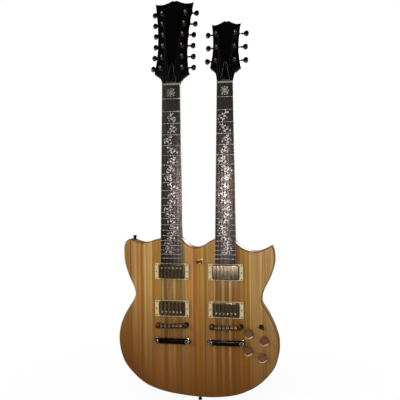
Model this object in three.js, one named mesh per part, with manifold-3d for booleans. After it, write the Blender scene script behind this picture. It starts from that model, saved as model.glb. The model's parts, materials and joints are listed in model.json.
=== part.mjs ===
// An electric guitar with two necks on one solid body: twelve strings on the left, six on the right.
// Lengths are millimetres. X runs to the right seen from the front, Y runs to the back and Z runs up
// along the necks. The origin lies on the flat back of the body, midway between the necks, on the
// line where the strings' scale ends.

import * as THREE from 'three';
import { mergeVertices } from 'three/addons/utils/BufferGeometryUtils.js';
import Module from 'manifold-3d';

const wasm = await Module();
wasm.setup();
const { degToRad, lerp, smoothstep } = THREE.MathUtils;

// The whole instrument
const scaleLength = 628.65;
const fretCount = 22;
const fretsPerOctave = 12;
const neckSpacing = 142.7;
const neckAngle = degToRad(2.2);
const headAngle = degToRad(10);
const seatGap = 0.3;
const cutOverrun = 2;

// Sides of round pieces: strings, small pins, bores and posts, knobs and nuts, and wide plates
const stringSides = 4;
const pinSides = 6;
const boreSides = 8;
const knobSides = 10;
const plateSides = 14;

// Body
const bodyWidth = 427;
const bodyLength = 416;
const bodyTailShare = 0.453;
const bodyThickness = 42;
const bodyEdgeRadius = 6;
const heelLineShare = 0.999;
const rightShoulderDrop = 11;
const innerShoulderDrop = 2;

// Fretboards and frets
const boardThickness = 6;
const boardCrownRadius = 305;
const boardOverhang = 12;
const fretHeight = 1;
const fretWidth = 2.4;

// Necks
const shaftDepthAtNut = 14.5;
const shaftDepthAtHeel = 18;
const heelDepth = 33;
const heelRun = 46;
const shoulderHeight = 1.6;
const shoulderSinkShare = 0.33;
const heelFootShare = 0.17;
const neckRoundnessShare = 0.8;
const tenonWidth = 38;
const tenonDepth = 26;
const tenonSetback = 8;

// Nuts
const nutThickness = 5;
const nutRise = 2.2;

// Heads
const headThickness = 15;
const headDrop = 3.6;
const headSetback = 1;
const headOverlap = 12;
const headOverlapDrop = 2.4;
const trussCoverThickness = 2;
const trussCoverLength = 51;
const trussCoverWidth = 25;
const trussCoverStart = 2;
const trussCoverTopShare = 0.34;
const trussCoverWaistShare = 0.5;
const trussCoverShoulderShare = 1.2;

// Machine heads
const gearTeeth = 10;
const gearRadius = 4.5;
const gearToothDepth = 1;
const gearThickness = 3.4;
const wormRadius = 2.1;
const wormLength = 9;
const postRadius = 3;
const postWaistRadius = 2.2;
const postHeight = 13;
const postWaistHeight = 7.5;
const keyShaftRadius = 1.5;
const keyReach = 19.5;
const keyCollarRadius = 2.4;
const keyCollarLength = 3;
const buttonLength = 13;
const buttonWidth = 16.4;
const buttonThickness = 6.4;
const buttonRounding = 1.6;
const buttonNeckShares = [0.12, 0.6];
const buttonBroadShares = [0.55, 1];
const buttonEndShares = [1, 0.5];
const buttonNotchShare = 0.93;
const runningGap = 0.4;
const housingWall = 1.9;
const housingFloor = 1;

// Pickups
const ringWidth = 90.7;
const ringLength = 42.7;
const ringCornerRadius = 3;
const ringHeight = 5;
const pickupWidth = 69;
const pickupLength = 37;
const pickupCornerRadius = 3.5;
const pickupRise = 3.2;
const pickupEdgeRadius = 1.2;
const pickupSink = 12;
const pickupFootThickness = 2;
const pickupFootWidth = 82;
const pickupFootLength = 12;
const pickupScrewRadius = 1.5;
const pickupWindowGap = 0.6;
const routDepth = 19;
const pickupToBoardGap = 2;
const bridgePickupPlace = 43.8;

// Bridges
const bridgeWidth = 84.5;
const bridgeLength = 12;
const bridgeDepth = 7;
const bridgeSlant = degToRad(2.3);
const bridgeStudSpacing = 74;
const bridgeStudRadius = 2.6;
const bridgeChannelWidth = 64;
const bridgeChannelLength = 7.4;
const bridgeChannelDepth = 4.4;
const bridgeEdgeRadius = 1;
const barEndShare = 0.45;
const saddleRise = 1.4;
const saddleFlat = 1.2;
const saddleWidthShare = 0.72;
const wheelRadius = 7.5;
const wheelThickness = 2.4;
const studDepth = 14;

// Tailpieces
const tailpieceWidth = 98.4;
const tailpieceLength = 14.3;
const tailpieceDepth = 10;
const tailpiecePlace = -40.8;
const tailpieceLift = 4.5;
const tailpieceEdgeRadius = 2.6;
const tailpieceStudSpacing = 82.4;
const tailpieceStudRadius = 4;
const tailpieceStudHeadRadius = 5.6;
const tailpieceStudHeadHeight = 2;

// Strings
const stringRiseAtNut = 2;
const stringRiseAtSaddle = 3.6;
const stringEdgeInset = 4;
const bridgeStringSpread = 52;
const coursePitch = 2.2;
const stringOverPost = 7.5;
const thickestString = 1.3;
const thinnestString = 0.5;

// Controls
const knobRadius = 12;
const knobTopRadius = 9.4;
const knobHeight = 13.5;
const knobSkirtHeight = 2.6;
const knobDish = 1;
const knobShaftRadius = 3;
const knobBoreRadius = 3.6;
const switchNutRadius = 7;
const switchNutHeight = 2.4;
const switchBoreRadius = 4.4;
const leverRadius = 1.6;
const leverTipRadius = 2.9;
const leverLength = 19;
const leverTipLength = 9;
const leverBallRadius = 3.2;
const leverTilt = degToRad(17);
const leverEndShare = 0.6;

// Rear covers, jack socket and strap buttons
const coverThickness = 2;
const coverLedge = 5;
const controlCoverWidth = 78;
const controlCoverLength = 114;
const controlCoverCorner = 22;
const controlCoverShares = [0.34, 0.366];
const switchCoverRadius = 17;
const cavityDepth = 29;
const jackPlateRadius = 10.5;
const jackPlateThickness = 1.6;
const jackBarrelRadius = 5.6;
const jackBarrelLength = 26;
const jackSocketRadius = 3.25;
const jackShares = [0.484, 0.338];
const strapButtonRadius = 5.2;
const strapButtonWaistRadius = 3.2;
const strapButtonHeight = 12.5;
const strapButtonFlange = 2.6;
const hornButtonShares = [-0.417, 0.984];
const tailButtonShares = [-0.008, 0];

// The outline, and the places of the controls, as shares of the body's width and length, from the
// scale line's middle and the tail
const bassSideShares = [
  [-0.288, 0.986], [-0.347, 0.97], [-0.398, 0.981], [-0.433, 0.993], [-0.459, 0.982], [-0.473, 0.953],
  [-0.476, 0.91], [-0.47, 0.838], [-0.445, 0.758], [-0.415, 0.689], [-0.405, 0.645], [-0.417, 0.605],
  [-0.466, 0.525], [-0.501, 0.446], [-0.515, 0.352], [-0.5, 0.254], [-0.464, 0.178], [-0.382, 0.093],
  [-0.293, 0.044], [-0.159, 0.013], [0.035, 0],
];
const trebleSideShares = [
  [0.201, 0.018], [0.309, 0.061], [0.386, 0.117], [0.451, 0.197], [0.478, 0.273], [0.484, 0.333],
  [0.48, 0.386], [0.457, 0.46], [0.422, 0.535], [0.385, 0.597], [0.381, 0.631], [0.393, 0.679],
  [0.433, 0.761], [0.457, 0.838], [0.46, 0.886], [0.457, 0.924],
];
const hornTipShares = [0.445, 0.958];
const trebleCutawayShares = [
  [0.417, 0.942], [0.375, 0.924], [0.347, 0.921], [0.309, 0.925], [0.272, 0.939], [0.246, 0.957],
];
const middleCutawayShares = [
  [0.068, 0.983], [0.03, 0.957], [-0.012, 0.942], [-0.047, 0.948], [-0.082, 0.97],
];
const knobShares = [[0.304, 0.414], [0.396, 0.373], [0.299, 0.308], [0.385, 0.27]];
const neckSwitchShares = [0.012, 0.857];
const pickupSwitchShares = [0.378, 0.458];

// The two necks; head outlines are shares of the head's width and length from the nut upward
const necks = {
  12: {
    side: -1,
    strings: 12,
    nutWidth: 48.5,
    endWidth: 58,
    headWidth: 105,
    headLength: 235.3,
    flankShares: [
      [0.295, 0.067], [0.448, 0.121], [0.415, 0.214], [0.39, 0.339], [0.387, 0.445], [0.402, 0.594],
      [0.427, 0.731], [0.467, 0.861], [0.5, 0.97],
    ],
    crestShares: [[0.429, 0.96], [0.295, 0.96], [0.171, 0.976], [0.062, 0.999], [0, 0.992]],
    firstPost: 42,
    postPitch: 31.2,
    postSpreadShares: [0.277, 0.259, 0.243, 0.252, 0.281, 0.305],
  },
  6: {
    side: 1,
    strings: 6,
    nutWidth: 42.5,
    endWidth: 55,
    headWidth: 77.6,
    headLength: 166.6,
    flankShares: [
      [0.341, 0.149], [0.518, 0.23], [0.474, 0.352], [0.441, 0.504], [0.441, 0.665], [0.47, 0.854],
      [0.5, 0.948],
    ],
    crestShares: [[0.425, 0.943], [0.33, 0.945], [0.193, 0.971], [0.077, 1], [0, 0.991]],
    firstPost: 55.9,
    postPitch: 37.4,
    postSpreadShares: [0.322, 0.303, 0.325],
  },
};

// Sizes that follow from the ones above
const faceY = -bodyThickness;
const bodyTail = bodyTailShare * bodyLength;
const heelLine = heelLineShare * bodyLength - bodyTail;
const boardEnd = scaleLength / 2 ** (fretCount / fretsPerOctave) - boardOverhang;
const boardRise = boardThickness * Math.cos(neckAngle) + heelLine * Math.sin(neckAngle) + shoulderHeight;
const neckPickupPlace = boardEnd - pickupToBoardGap - ringLength / 2;
const woodTop = boardThickness + seatGap;
const nutStart = scaleLength + seatGap;
const headStart = nutStart + nutThickness + headSetback;
const wormOffset = gearRadius + wormRadius + seatGap;
const gearMiddle = headThickness + housingFloor + runningGap + wormRadius;
const housingBack = gearMiddle + wormRadius + runningGap + housingWall;

// Colours, as seen on the instrument
function finish(color, roughness, metalness) {
  return new THREE.MeshStandardMaterial({ color, roughness, metalness });
}

const honeyWood = finish(0x9c6f3c, 0.3, 0);
const blackLacquer = finish(0x0c0b0b, 0.15, 0);
const darkBoard = finish(0x2b2422, 0.5, 0);
const gold = finish(0xc9a24e, 0.2, 1);
const darkMetal = finish(0x3a3530, 0.25, 1);
const cream = finish(0xc4b482, 0.4, 0);
const steel = finish(0xb8b8b4, 0.3, 1);
const amberKnob = finish(0x6b4335, 0.25, 0);
const blackPlastic = finish(0x151413, 0.4, 0);

// Solids: a closed geometry becomes a solid that can be joined and cut, and turns back into one
function solidOf(geometry) {
  const bare = geometry.clone();
  bare.deleteAttribute('normal');
  bare.deleteAttribute('uv');
  const merged = mergeVertices(bare);
  const corners = merged.index.array;
  const kept = [];
  for (let i = 0; i < corners.length; i += 3) {
    const [a, b, c] = [corners[i], corners[i + 1], corners[i + 2]];
    if (a !== b && b !== c && c !== a) kept.push(a, b, c);
  }
  const vertProperties = new Float32Array(merged.attributes.position.array);
  return new wasm.Manifold(new wasm.Mesh({ numProp: 3, vertProperties, triVerts: new Uint32Array(kept) }));
}

function geometryOf(solid) {
  const mesh = solid.getMesh();
  const geometry = new THREE.BufferGeometry();
  geometry.setAttribute('position', new THREE.BufferAttribute(new Float32Array(mesh.vertProperties), 3));
  geometry.setIndex(new THREE.BufferAttribute(new Uint32Array(mesh.triVerts), 1));
  return geometry;
}

const join = (first, ...rest) => rest.reduce((whole, piece) => whole.add(piece), first);
const cut = (first, ...cutters) => cutters.reduce((whole, cutter) => whole.subtract(cutter), first);

// The levels of a rounded edge: each is an outline set in from the one before it and nearer to its face
function roundingLevels(outline, rounding, steps) {
  const levels = [{ outlines: outline.toPolygons(), sink: rounding }];
  for (let k = 1; k <= steps; k += 1) {
    const angle = Math.PI / 2 * k / steps;
    const inner = outline.offset(-rounding * (1 - Math.cos(angle)), 'Miter');
    levels.push({ outlines: inner.toPolygons(), sink: rounding * (1 - Math.sin(angle)) });
  }
  return levels;
}

// The triangles of one face and its rounded edge, each corner at the depth of its own level
function faceTriangles(levels, depthOf) {
  return levels.flatMap(({ outlines, sink }, k) => {
    const next = levels[k + 1] ?? { outlines: [], sink };
    const holes = next.outlines.map((loop) => [...loop].reverse());
    const corners = [
      ...outlines.flat().map(([x, z]) => [x, depthOf(sink), z]),
      ...holes.flat().map(([x, z]) => [x, depthOf(next.sink), z]),
    ];
    return wasm.triangulate([...outlines, ...holes]).map((triangle) => triangle.map((i) => corners[i]));
  });
}

// A shape drawn in X and Z becomes a plate between two depths in Y, with rounded edges if wanted
function plate(shape, front, back, rounding = 0, curveSegments = 3, frontSteps = 2, backSteps = frontSteps) {
  const points = shape.extractPoints(curveSegments).shape.map(({ x, y }) => [x, y]);
  const outline = new wasm.CrossSection([points], 'NonZero');
  const steps = rounding > 0 ? [frontSteps, backSteps] : [0, 0];
  const [frontLevels, backLevels] = steps.map((count) => roundingLevels(outline, rounding, count));
  const [rimFront, rimBack] = [front + rounding, back - rounding];
  const rim = frontLevels[0].outlines.flatMap((loop) => loop.flatMap(([x0, z0], i) => {
    const [x1, z1] = loop[(i + 1) % loop.length];
    return [
      [[x0, rimFront, z0], [x0, rimBack, z0], [x1, rimBack, z1]],
      [[x0, rimFront, z0], [x1, rimBack, z1], [x1, rimFront, z1]],
    ];
  }));
  const triangles = [
    ...faceTriangles(frontLevels, (sink) => front + sink),
    ...faceTriangles(backLevels, (sink) => back - sink).map((triangle) => triangle.reverse()),
    ...rim,
  ];
  const geometry = new THREE.BufferGeometry();
  geometry.setAttribute('position', new THREE.Float32BufferAttribute(triangles.flat(2), 3));
  return solidOf(geometry);
}

// A profile of [radius, depth] pairs turned about the Y axis
function turned(profile, sides) {
  return solidOf(new THREE.LatheGeometry(profile.map(([r, y]) => new THREE.Vector2(r, y)), sides));
}

function pin(radius, front, back, sides) {
  return turned([[0, front], [radius, front], [radius, back], [0, back]], sides);
}

// A hole with flat sides that clears the whole circle of its radius, so that a pin can turn in it
function bore(radius, front, back, sides) {
  return pin(radius / Math.cos(Math.PI / sides), front, back, sides);
}

const alongX = (solid) => solid.rotate([0, 0, -90]);
const alongZ = (solid) => solid.rotate([90, 0, 0]);

function box(x0, x1, y0, y1, z0, z1) {
  const geometry = new THREE.BoxGeometry(x1 - x0, y1 - y0, z1 - z0);
  geometry.translate((x0 + x1) / 2, (y0 + y1) / 2, (z0 + z1) / 2);
  return solidOf(geometry);
}

function roundedRectangle(width, length, corner) {
  const [x, z] = [width / 2, length / 2];
  const shape = new THREE.Shape();
  shape.absarc(x - corner, z - corner, corner, 0, Math.PI / 2);
  shape.absarc(corner - x, z - corner, corner, Math.PI / 2, Math.PI);
  shape.absarc(corner - x, corner - z, corner, Math.PI, Math.PI * 1.5);
  shape.absarc(x - corner, corner - z, corner, Math.PI * 1.5, Math.PI * 2);
  shape.closePath();
  return shape;
}

function polygon(points) {
  return new THREE.Shape(points.map(([x, z]) => new THREE.Vector2(x, z)));
}

// The scene: nested groups hold the meshes where the pieces sit
const guitar = new THREE.Group();

function place(parent, name, solid, material) {
  const mesh = new THREE.Mesh(geometryOf(solid), material);
  mesh.name = name;
  parent.add(mesh);
  return mesh;
}

function groupAt(parent, position, rotationX = 0) {
  const group = new THREE.Group();
  group.position.set(...position);
  group.rotation.x = rotationX;
  parent.add(group);
  group.updateWorldMatrix(true, false);
  return group;
}

const toLocal = (solid, group) => solid.transform(group.matrixWorld.clone().invert().toArray());

function neckCentre(neck) {
  return neck.side * neckSpacing / 2;
}

function boardWidthAt(neck, z) {
  return lerp(neck.nutWidth, neck.endWidth, (scaleLength - z) / (scaleLength - boardEnd));
}

// Body
const bodyPoint = ([x, z]) => [x * bodyWidth, z * bodyLength - bodyTail];

function bodyOutline() {
  const at = (shares) => new THREE.Vector2(...bodyPoint(shares));
  const [bass, treble] = [necks[12], necks[6]];
  const bassHalf = boardWidthAt(bass, heelLine) / 2;
  const trebleHalf = boardWidthAt(treble, heelLine) / 2;
  const [bassX, trebleX] = [neckCentre(bass), neckCentre(treble)];
  const shape = new THREE.Shape();
  shape.moveTo(bassX - bassHalf, heelLine);
  shape.splineThru([...bassSideShares, ...trebleSideShares].map(at));
  for (const corner of [hornTipShares, trebleCutawayShares[0]].map(at)) shape.lineTo(corner.x, corner.y);
  const rightShoulder = new THREE.Vector2(trebleX + trebleHalf, heelLine - rightShoulderDrop);
  shape.splineThru([...trebleCutawayShares.slice(1).map(at), rightShoulder]);
  shape.lineTo(trebleX + trebleHalf, heelLine);
  shape.lineTo(trebleX - trebleHalf, heelLine);
  const innerShoulder = new THREE.Vector2(bassX + bassHalf, heelLine - innerShoulderDrop);
  shape.splineThru([...middleCutawayShares.map(at), innerShoulder]);
  shape.lineTo(bassX + bassHalf, heelLine);
  shape.closePath();
  return shape;
}

function strapButton() {
  return turned([
    [0, -cutOverrun],
    [strapButtonRadius, -cutOverrun],
    [strapButtonRadius, strapButtonFlange / 2],
    [strapButtonWaistRadius, strapButtonHeight / 2],
    [strapButtonRadius, strapButtonHeight - strapButtonFlange],
    [strapButtonRadius, strapButtonHeight],
    [0, strapButtonHeight],
  ], boreSides);
}

function pickupRout() {
  const [halfWidth, halfLength] = [pickupWidth / 2 + 2 * seatGap, pickupLength / 2 + 2 * seatGap];
  const footHalf = pickupFootWidth / 2 + 2 * seatGap;
  const footLong = pickupFootLength / 2 + 2 * seatGap;
  const [front, back] = [faceY - cutOverrun, faceY + routDepth];
  return join(
    box(-halfWidth, halfWidth, front, back, -halfLength, halfLength),
    box(-footHalf, footHalf, front, back, -footLong, footLong),
  );
}

function neckPocket(neck, gap) {
  const [x, half] = [neckCentre(neck), tenonWidth / 2 - gap];
  const [front, back] = [faceY - seatGap - shoulderHeight * shoulderSinkShare, faceY + tenonDepth - gap];
  return box(x - half, x + half, front, back, boardEnd + tenonSetback + gap, heelLine + cutOverrun);
}

function studBores(spacing, radius, slant) {
  const bore = pin(radius, faceY - cutOverrun, faceY + studDepth + cutOverrun, boreSides);
  const [x, z] = [spacing / 2 * Math.cos(slant), spacing / 2 * Math.sin(slant)];
  return join(bore.translate([-x, 0, -z]), bore.translate([x, 0, z]));
}

function makeBody() {
  let body = plate(bodyOutline(), faceY, 0, bodyEdgeRadius, 2, 2, 1);
  for (const neck of Object.values(necks)) {
    const x = neckCentre(neck);
    const rout = pickupRout();
    body = cut(
      body,
      neckPocket(neck, 0),
      rout.translate([x, 0, neckPickupPlace]),
      rout.translate([x, 0, bridgePickupPlace]),
      studBores(bridgeStudSpacing, bridgeStudRadius + seatGap, bridgeSlant).translate([x, 0, 0]),
      studBores(tailpieceStudSpacing, tailpieceStudRadius + seatGap, 0).translate([x, 0, tailpiecePlace]),
    );
  }
  const [coverX, coverZ] = bodyPoint(controlCoverShares);
  const cavity = roundedRectangle(
    controlCoverWidth - 2 * coverLedge, controlCoverLength - 2 * coverLedge, controlCoverCorner - coverLedge,
  );
  const recess = roundedRectangle(
    controlCoverWidth + 2 * seatGap, controlCoverLength + 2 * seatGap, controlCoverCorner + seatGap,
  );
  const recessFront = -coverThickness - seatGap;
  const [switchX, switchZ] = bodyPoint(neckSwitchShares);
  const [jackX, jackZ] = bodyPoint(jackShares);
  const jackRecess = jackX - jackPlateThickness - seatGap;
  body = cut(
    body,
    plate(cavity, -cavityDepth, cutOverrun, 0, 2).translate([coverX, 0, coverZ]),
    plate(recess, recessFront, cutOverrun, 0, 3).translate([coverX, 0, coverZ]),
    pin(switchCoverRadius - coverLedge, -cavityDepth, cutOverrun, knobSides).translate([switchX, 0, switchZ]),
    pin(switchCoverRadius + seatGap, recessFront, cutOverrun, plateSides).translate([switchX, 0, switchZ]),
    alongX(join(
      pin(jackPlateRadius + seatGap, jackRecess, jackX + cutOverrun, plateSides),
      pin(jackBarrelRadius + seatGap, coverX, jackX, knobSides),
    )).translate([0, faceY / 2, jackZ]),
  );
  const knobBore = pin(knobBoreRadius, faceY - cutOverrun, cutOverrun - cavityDepth, boreSides);
  for (const [x, z] of knobShares.map(bodyPoint)) body = cut(body, knobBore.translate([x, 0, z]));
  const nut = pin(switchNutRadius, faceY - switchNutHeight, faceY + cutOverrun, knobSides);
  const nutFront = faceY - switchNutHeight - cutOverrun;
  const switchBore = pin(switchBoreRadius, nutFront, cutOverrun - cavityDepth, boreSides);
  for (const [x, z] of [neckSwitchShares, pickupSwitchShares].map(bodyPoint)) {
    body = cut(join(body, nut.translate([x, 0, z])), switchBore.translate([x, 0, z]));
  }
  const [hornX, hornZ] = bodyPoint(hornButtonShares);
  const [tailX, tailZ] = bodyPoint(tailButtonShares);
  return join(
    body,
    alongZ(strapButton()).translate([hornX, faceY / 2, hornZ]),
    alongZ(strapButton()).rotate([180, 0, 0]).translate([tailX, faceY / 2, tailZ]),
  );
}

// Necks: a unit section is lofted through stations along the neck
function neckSection() {
  const points = [];
  const sides = 7;
  for (let k = 0; k <= sides; k += 1) {
    const angle = Math.PI * k / sides;
    points.push([Math.cos(angle), Math.sin(angle) ** neckRoundnessShare]);
  }
  return polygon(points);
}

function loft(section, stations) {
  const steps = stations.length - 1;
  const geometry = new THREE.ExtrudeGeometry(section, { depth: 1, steps, bevelEnabled: false });
  const position = geometry.attributes.position;
  for (let i = 0; i < position.count; i += 1) {
    const station = stations[Math.round(position.getZ(i) * steps)];
    const x = position.getX(i) * station.halfWidth;
    const y = station.top + position.getY(i) * station.depth;
    position.setXYZ(i, x, y, station.z);
  }
  return solidOf(geometry);
}

function shaftDepthAt(z) {
  const straight = lerp(shaftDepthAtNut, shaftDepthAtHeel, (scaleLength - z) / (scaleLength - heelLine));
  const heelShare = 1 - smoothstep(z, heelLine + heelRun * heelFootShare, heelLine + heelRun);
  return lerp(straight, heelDepth, heelShare);
}

function neckStations(neck) {
  const heelSteps = 5;
  const places = [boardEnd, heelLine];
  for (let k = 1; k <= heelSteps; k += 1) places.push(heelLine + heelRun * k / heelSteps);
  places.push(lerp(heelLine + heelRun, scaleLength, 0.5), scaleLength);
  const stations = places.map((z) => (
    { z, halfWidth: boardWidthAt(neck, z) / 2, depth: shaftDepthAt(z), top: woodTop }
  ));
  stations.push({ z: headStart, halfWidth: neck.nutWidth / 2, depth: shaftDepthAtNut, top: woodTop });
  const [half, depth] = [neck.nutWidth / 2, headThickness + headDrop - woodTop];
  stations.push({ z: headStart + headOverlap, halfWidth: half, depth, top: woodTop + headOverlapDrop });
  return stations;
}

function headOutline(neck) {
  const at = (mirror) => ([x, z]) => new THREE.Vector2(mirror * x * neck.headWidth, z * neck.headLength);
  const corner = neck.flankShares.length - 1;
  const shape = new THREE.Shape();
  shape.moveTo(neck.nutWidth / 2, 0);
  shape.splineThru(neck.flankShares.slice(0, 2).map(at(1)));
  shape.splineThru(neck.flankShares.slice(2, corner + 1).map(at(1)));
  shape.splineThru(neck.crestShares.map(at(1)));
  shape.splineThru([...neck.crestShares.slice(0, -1).reverse(), neck.flankShares[corner]].map(at(-1)));
  shape.splineThru(neck.flankShares.slice(1, corner).reverse().map(at(-1)));
  shape.splineThru([at(-1)(neck.flankShares[0]), new THREE.Vector2(-neck.nutWidth / 2, 0)]);
  shape.closePath();
  return shape;
}

function trussCover() {
  const [half, top] = [trussCoverWidth / 2, trussCoverStart + trussCoverLength];
  const [tip, waist] = [half * trussCoverTopShare, half * trussCoverWaistShare];
  const shoulder = top - half * trussCoverShoulderShare;
  const shape = new THREE.Shape();
  shape.moveTo(-half, trussCoverStart);
  shape.lineTo(half, trussCoverStart);
  shape.bezierCurveTo(half, top - half, waist, shoulder, tip, top);
  shape.lineTo(-tip, top);
  shape.bezierCurveTo(-waist, shoulder, -half, top - half, -half, trussCoverStart);
  return plate(shape, -trussCoverThickness, trussCoverThickness, 0, 3);
}

// One gear housing behind the head, centred on its post, and the hollow that its gear and worm turn in
function housing() {
  const half = gearRadius + runningGap + housingWall;
  const top = wormOffset + wormRadius + runningGap + housingWall;
  const corner = half / 2;
  return plate(polygon([
    [half, corner - half], [half, top - corner], [half - corner, top], [corner - half, top],
    [-half, top - corner], [-half, corner - half], [corner - half, -half], [half - corner, -half],
  ]), headThickness - cutOverrun, housingBack);
}

function housingHollow(side) {
  const half = gearRadius + runningGap;
  const top = wormOffset + wormRadius + runningGap;
  const room = wormRadius + runningGap;
  const reach = side * (half + housingWall + cutOverrun);
  return join(
    box(-half, half, gearMiddle - room, gearMiddle + room, -half, top),
    bore(postRadius + runningGap, -cutOverrun, gearMiddle, pinSides),
    alongX(bore(keyShaftRadius + runningGap, Math.min(reach, 0), Math.max(reach, 0), pinSides))
      .translate([0, gearMiddle, wormOffset]),
  );
}

function postPlaces(neck) {
  return [-1, 1].flatMap((side) => neck.postSpreadShares.map((share, i) => (
    { side, x: side * share * neck.headWidth, z: neck.firstPost + i * neck.postPitch }
  )));
}

function makeNeck(neck, neckGroup, headGroup) {
  const centre = neckCentre(neck);
  const bodyRoom = box(
    centre - neckSpacing / 2, centre + neckSpacing / 2, faceY - seatGap, bodyThickness,
    -cutOverrun, heelLine + seatGap,
  );
  const blank = cut(loft(neckSection(), neckStations(neck)), toLocal(bodyRoom, neckGroup));
  const tenon = toLocal(neckPocket(neck, seatGap), neckGroup);
  let head = join(plate(headOutline(neck), 0, headThickness, 0, 2), trussCover());
  const posts = postPlaces(neck);
  for (const { x, z } of posts) head = join(head, housing().translate([x, 0, z]));
  for (const { side, x, z } of posts) head = cut(head, housingHollow(side).translate([x, 0, z]));
  const headInNeck = head.transform(headGroup.matrix.toArray());
  return join(blank, tenon, headInNeck);
}

// Fretboards with their frets: both have the same crowned section, tapered to the nut
function crownedSection(width, top, bottom) {
  const sides = 2;
  const points = [[width / 2, bottom], [-width / 2, bottom]];
  for (let k = 0; k <= sides; k += 1) {
    const x = lerp(-width / 2, width / 2, k / sides);
    points.push([x, top + boardCrownRadius - Math.sqrt(boardCrownRadius ** 2 - x ** 2)]);
  }
  return polygon(points);
}

function makeFretboard(neck) {
  const length = scaleLength - boardEnd;
  const section = crownedSection(neck.endWidth, 0, boardThickness);
  const geometry = new THREE.ExtrudeGeometry(section, { depth: length, bevelEnabled: false });
  const position = geometry.attributes.position;
  for (let i = 0; i < position.count; i += 1) {
    const z = boardEnd + position.getZ(i);
    position.setX(i, position.getX(i) * boardWidthAt(neck, z) / neck.endWidth);
    position.setZ(i, z);
  }
  let board = solidOf(geometry);
  for (let n = 1; n <= fretCount; n += 1) {
    const z = scaleLength / 2 ** (n / fretsPerOctave);
    const fret = crownedSection(boardWidthAt(neck, z) - seatGap, -fretHeight, boardThickness / 2);
    const bar = new THREE.ExtrudeGeometry(fret, { depth: fretWidth, bevelEnabled: false });
    bar.translate(0, 0, z - fretWidth / 2);
    board = join(board, solidOf(bar));
  }
  return board;
}

// Machine heads: a worm on the key's shaft turns the gear at the foot of the string post
function makePost() {
  const gearFront = gearMiddle - gearThickness / 2;
  const post = turned([
    [0, -postHeight],
    [postRadius, -postHeight],
    [postWaistRadius, -postWaistHeight],
    [postRadius, -postHeight / 4],
    [postRadius, gearMiddle],
    [0, gearMiddle],
  ], pinSides);
  const teeth = [];
  for (let k = 0; k < 2 * gearTeeth; k += 1) {
    const radius = gearRadius - (k % 2) * gearToothDepth;
    const angle = Math.PI * k / gearTeeth;
    teeth.push([radius * Math.cos(angle), radius * Math.sin(angle)]);
  }
  return join(post, plate(polygon(teeth), gearFront, gearFront + gearThickness));
}

function makeKey() {
  const half = buttonWidth / 2;
  const shares = [buttonNeckShares, buttonBroadShares, buttonEndShares];
  const upper = [[0, keyCollarRadius], ...shares.map(([x, z]) => [x * buttonLength, z * half])];
  const lower = upper.map(([x, z]) => [x, -z]);
  const button = plate(
    polygon([...lower, [buttonNotchShare * buttonLength, 0], ...[...upper].reverse()]),
    -buttonThickness / 2, buttonThickness / 2, buttonRounding, 1, 1,
  );
  const stem = alongX(turned([
    [0, -wormLength / 2],
    [wormRadius, -wormLength / 2],
    [wormRadius, wormLength / 2],
    [keyShaftRadius, wormLength / 2],
    [keyShaftRadius, keyReach - keyCollarLength],
    [keyCollarRadius, keyReach + keyCollarLength],
    [0, keyReach + keyCollarLength],
  ], pinSides));
  return join(stem, button.translate([keyReach, 0, 0]));
}

// Strings: straight runs from the tailpiece over the saddle and the nut to the post
function courseOffsets(neck, spread) {
  const courses = 6;
  const perCourse = neck.strings / courses;
  const offsets = [];
  for (let c = 0; c < courses; c += 1) {
    const x = lerp(-spread / 2, spread / 2, c / (courses - 1));
    for (let k = 0; k < perCourse; k += 1) offsets.push(x + (k - (perCourse - 1) / 2) * coursePitch);
  }
  return offsets;
}

// One closed tube through the points of a route, with a ring of corners at each point
function tube(route, radius, sides) {
  const circle = [];
  for (let k = 0; k < sides; k += 1) {
    const angle = 2 * Math.PI * k / sides;
    circle.push([Math.cos(angle), Math.sin(angle)]);
  }
  const steps = route.length - 1;
  const geometry = new THREE.ExtrudeGeometry(polygon(circle), { depth: 1, steps, bevelEnabled: false });
  const across = new THREE.Vector3(1, 0, 0);
  const rings = route.map((point, i) => {
    const before = route[Math.max(i - 1, 0)];
    const along = new THREE.Vector3().subVectors(route[Math.min(i + 1, steps)], before).normalize();
    const up = new THREE.Vector3().crossVectors(along, across).normalize().multiplyScalar(radius);
    return { point, up, right: new THREE.Vector3().crossVectors(up, along) };
  });
  const position = geometry.attributes.position;
  for (let i = 0; i < position.count; i += 1) {
    const { point, up, right } = rings[Math.round(position.getZ(i) * steps)];
    const corner = point.clone().addScaledVector(right, position.getX(i));
    corner.addScaledVector(up, position.getY(i));
    position.setXYZ(i, corner.x, corner.y, corner.z);
  }
  return solidOf(geometry);
}

function postForString(neck, index) {
  const perSide = neck.strings / 2;
  const onLeft = index < perSide;
  return { side: onLeft ? -1 : 1, row: onLeft ? index : neck.strings - 1 - index };
}

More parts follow.
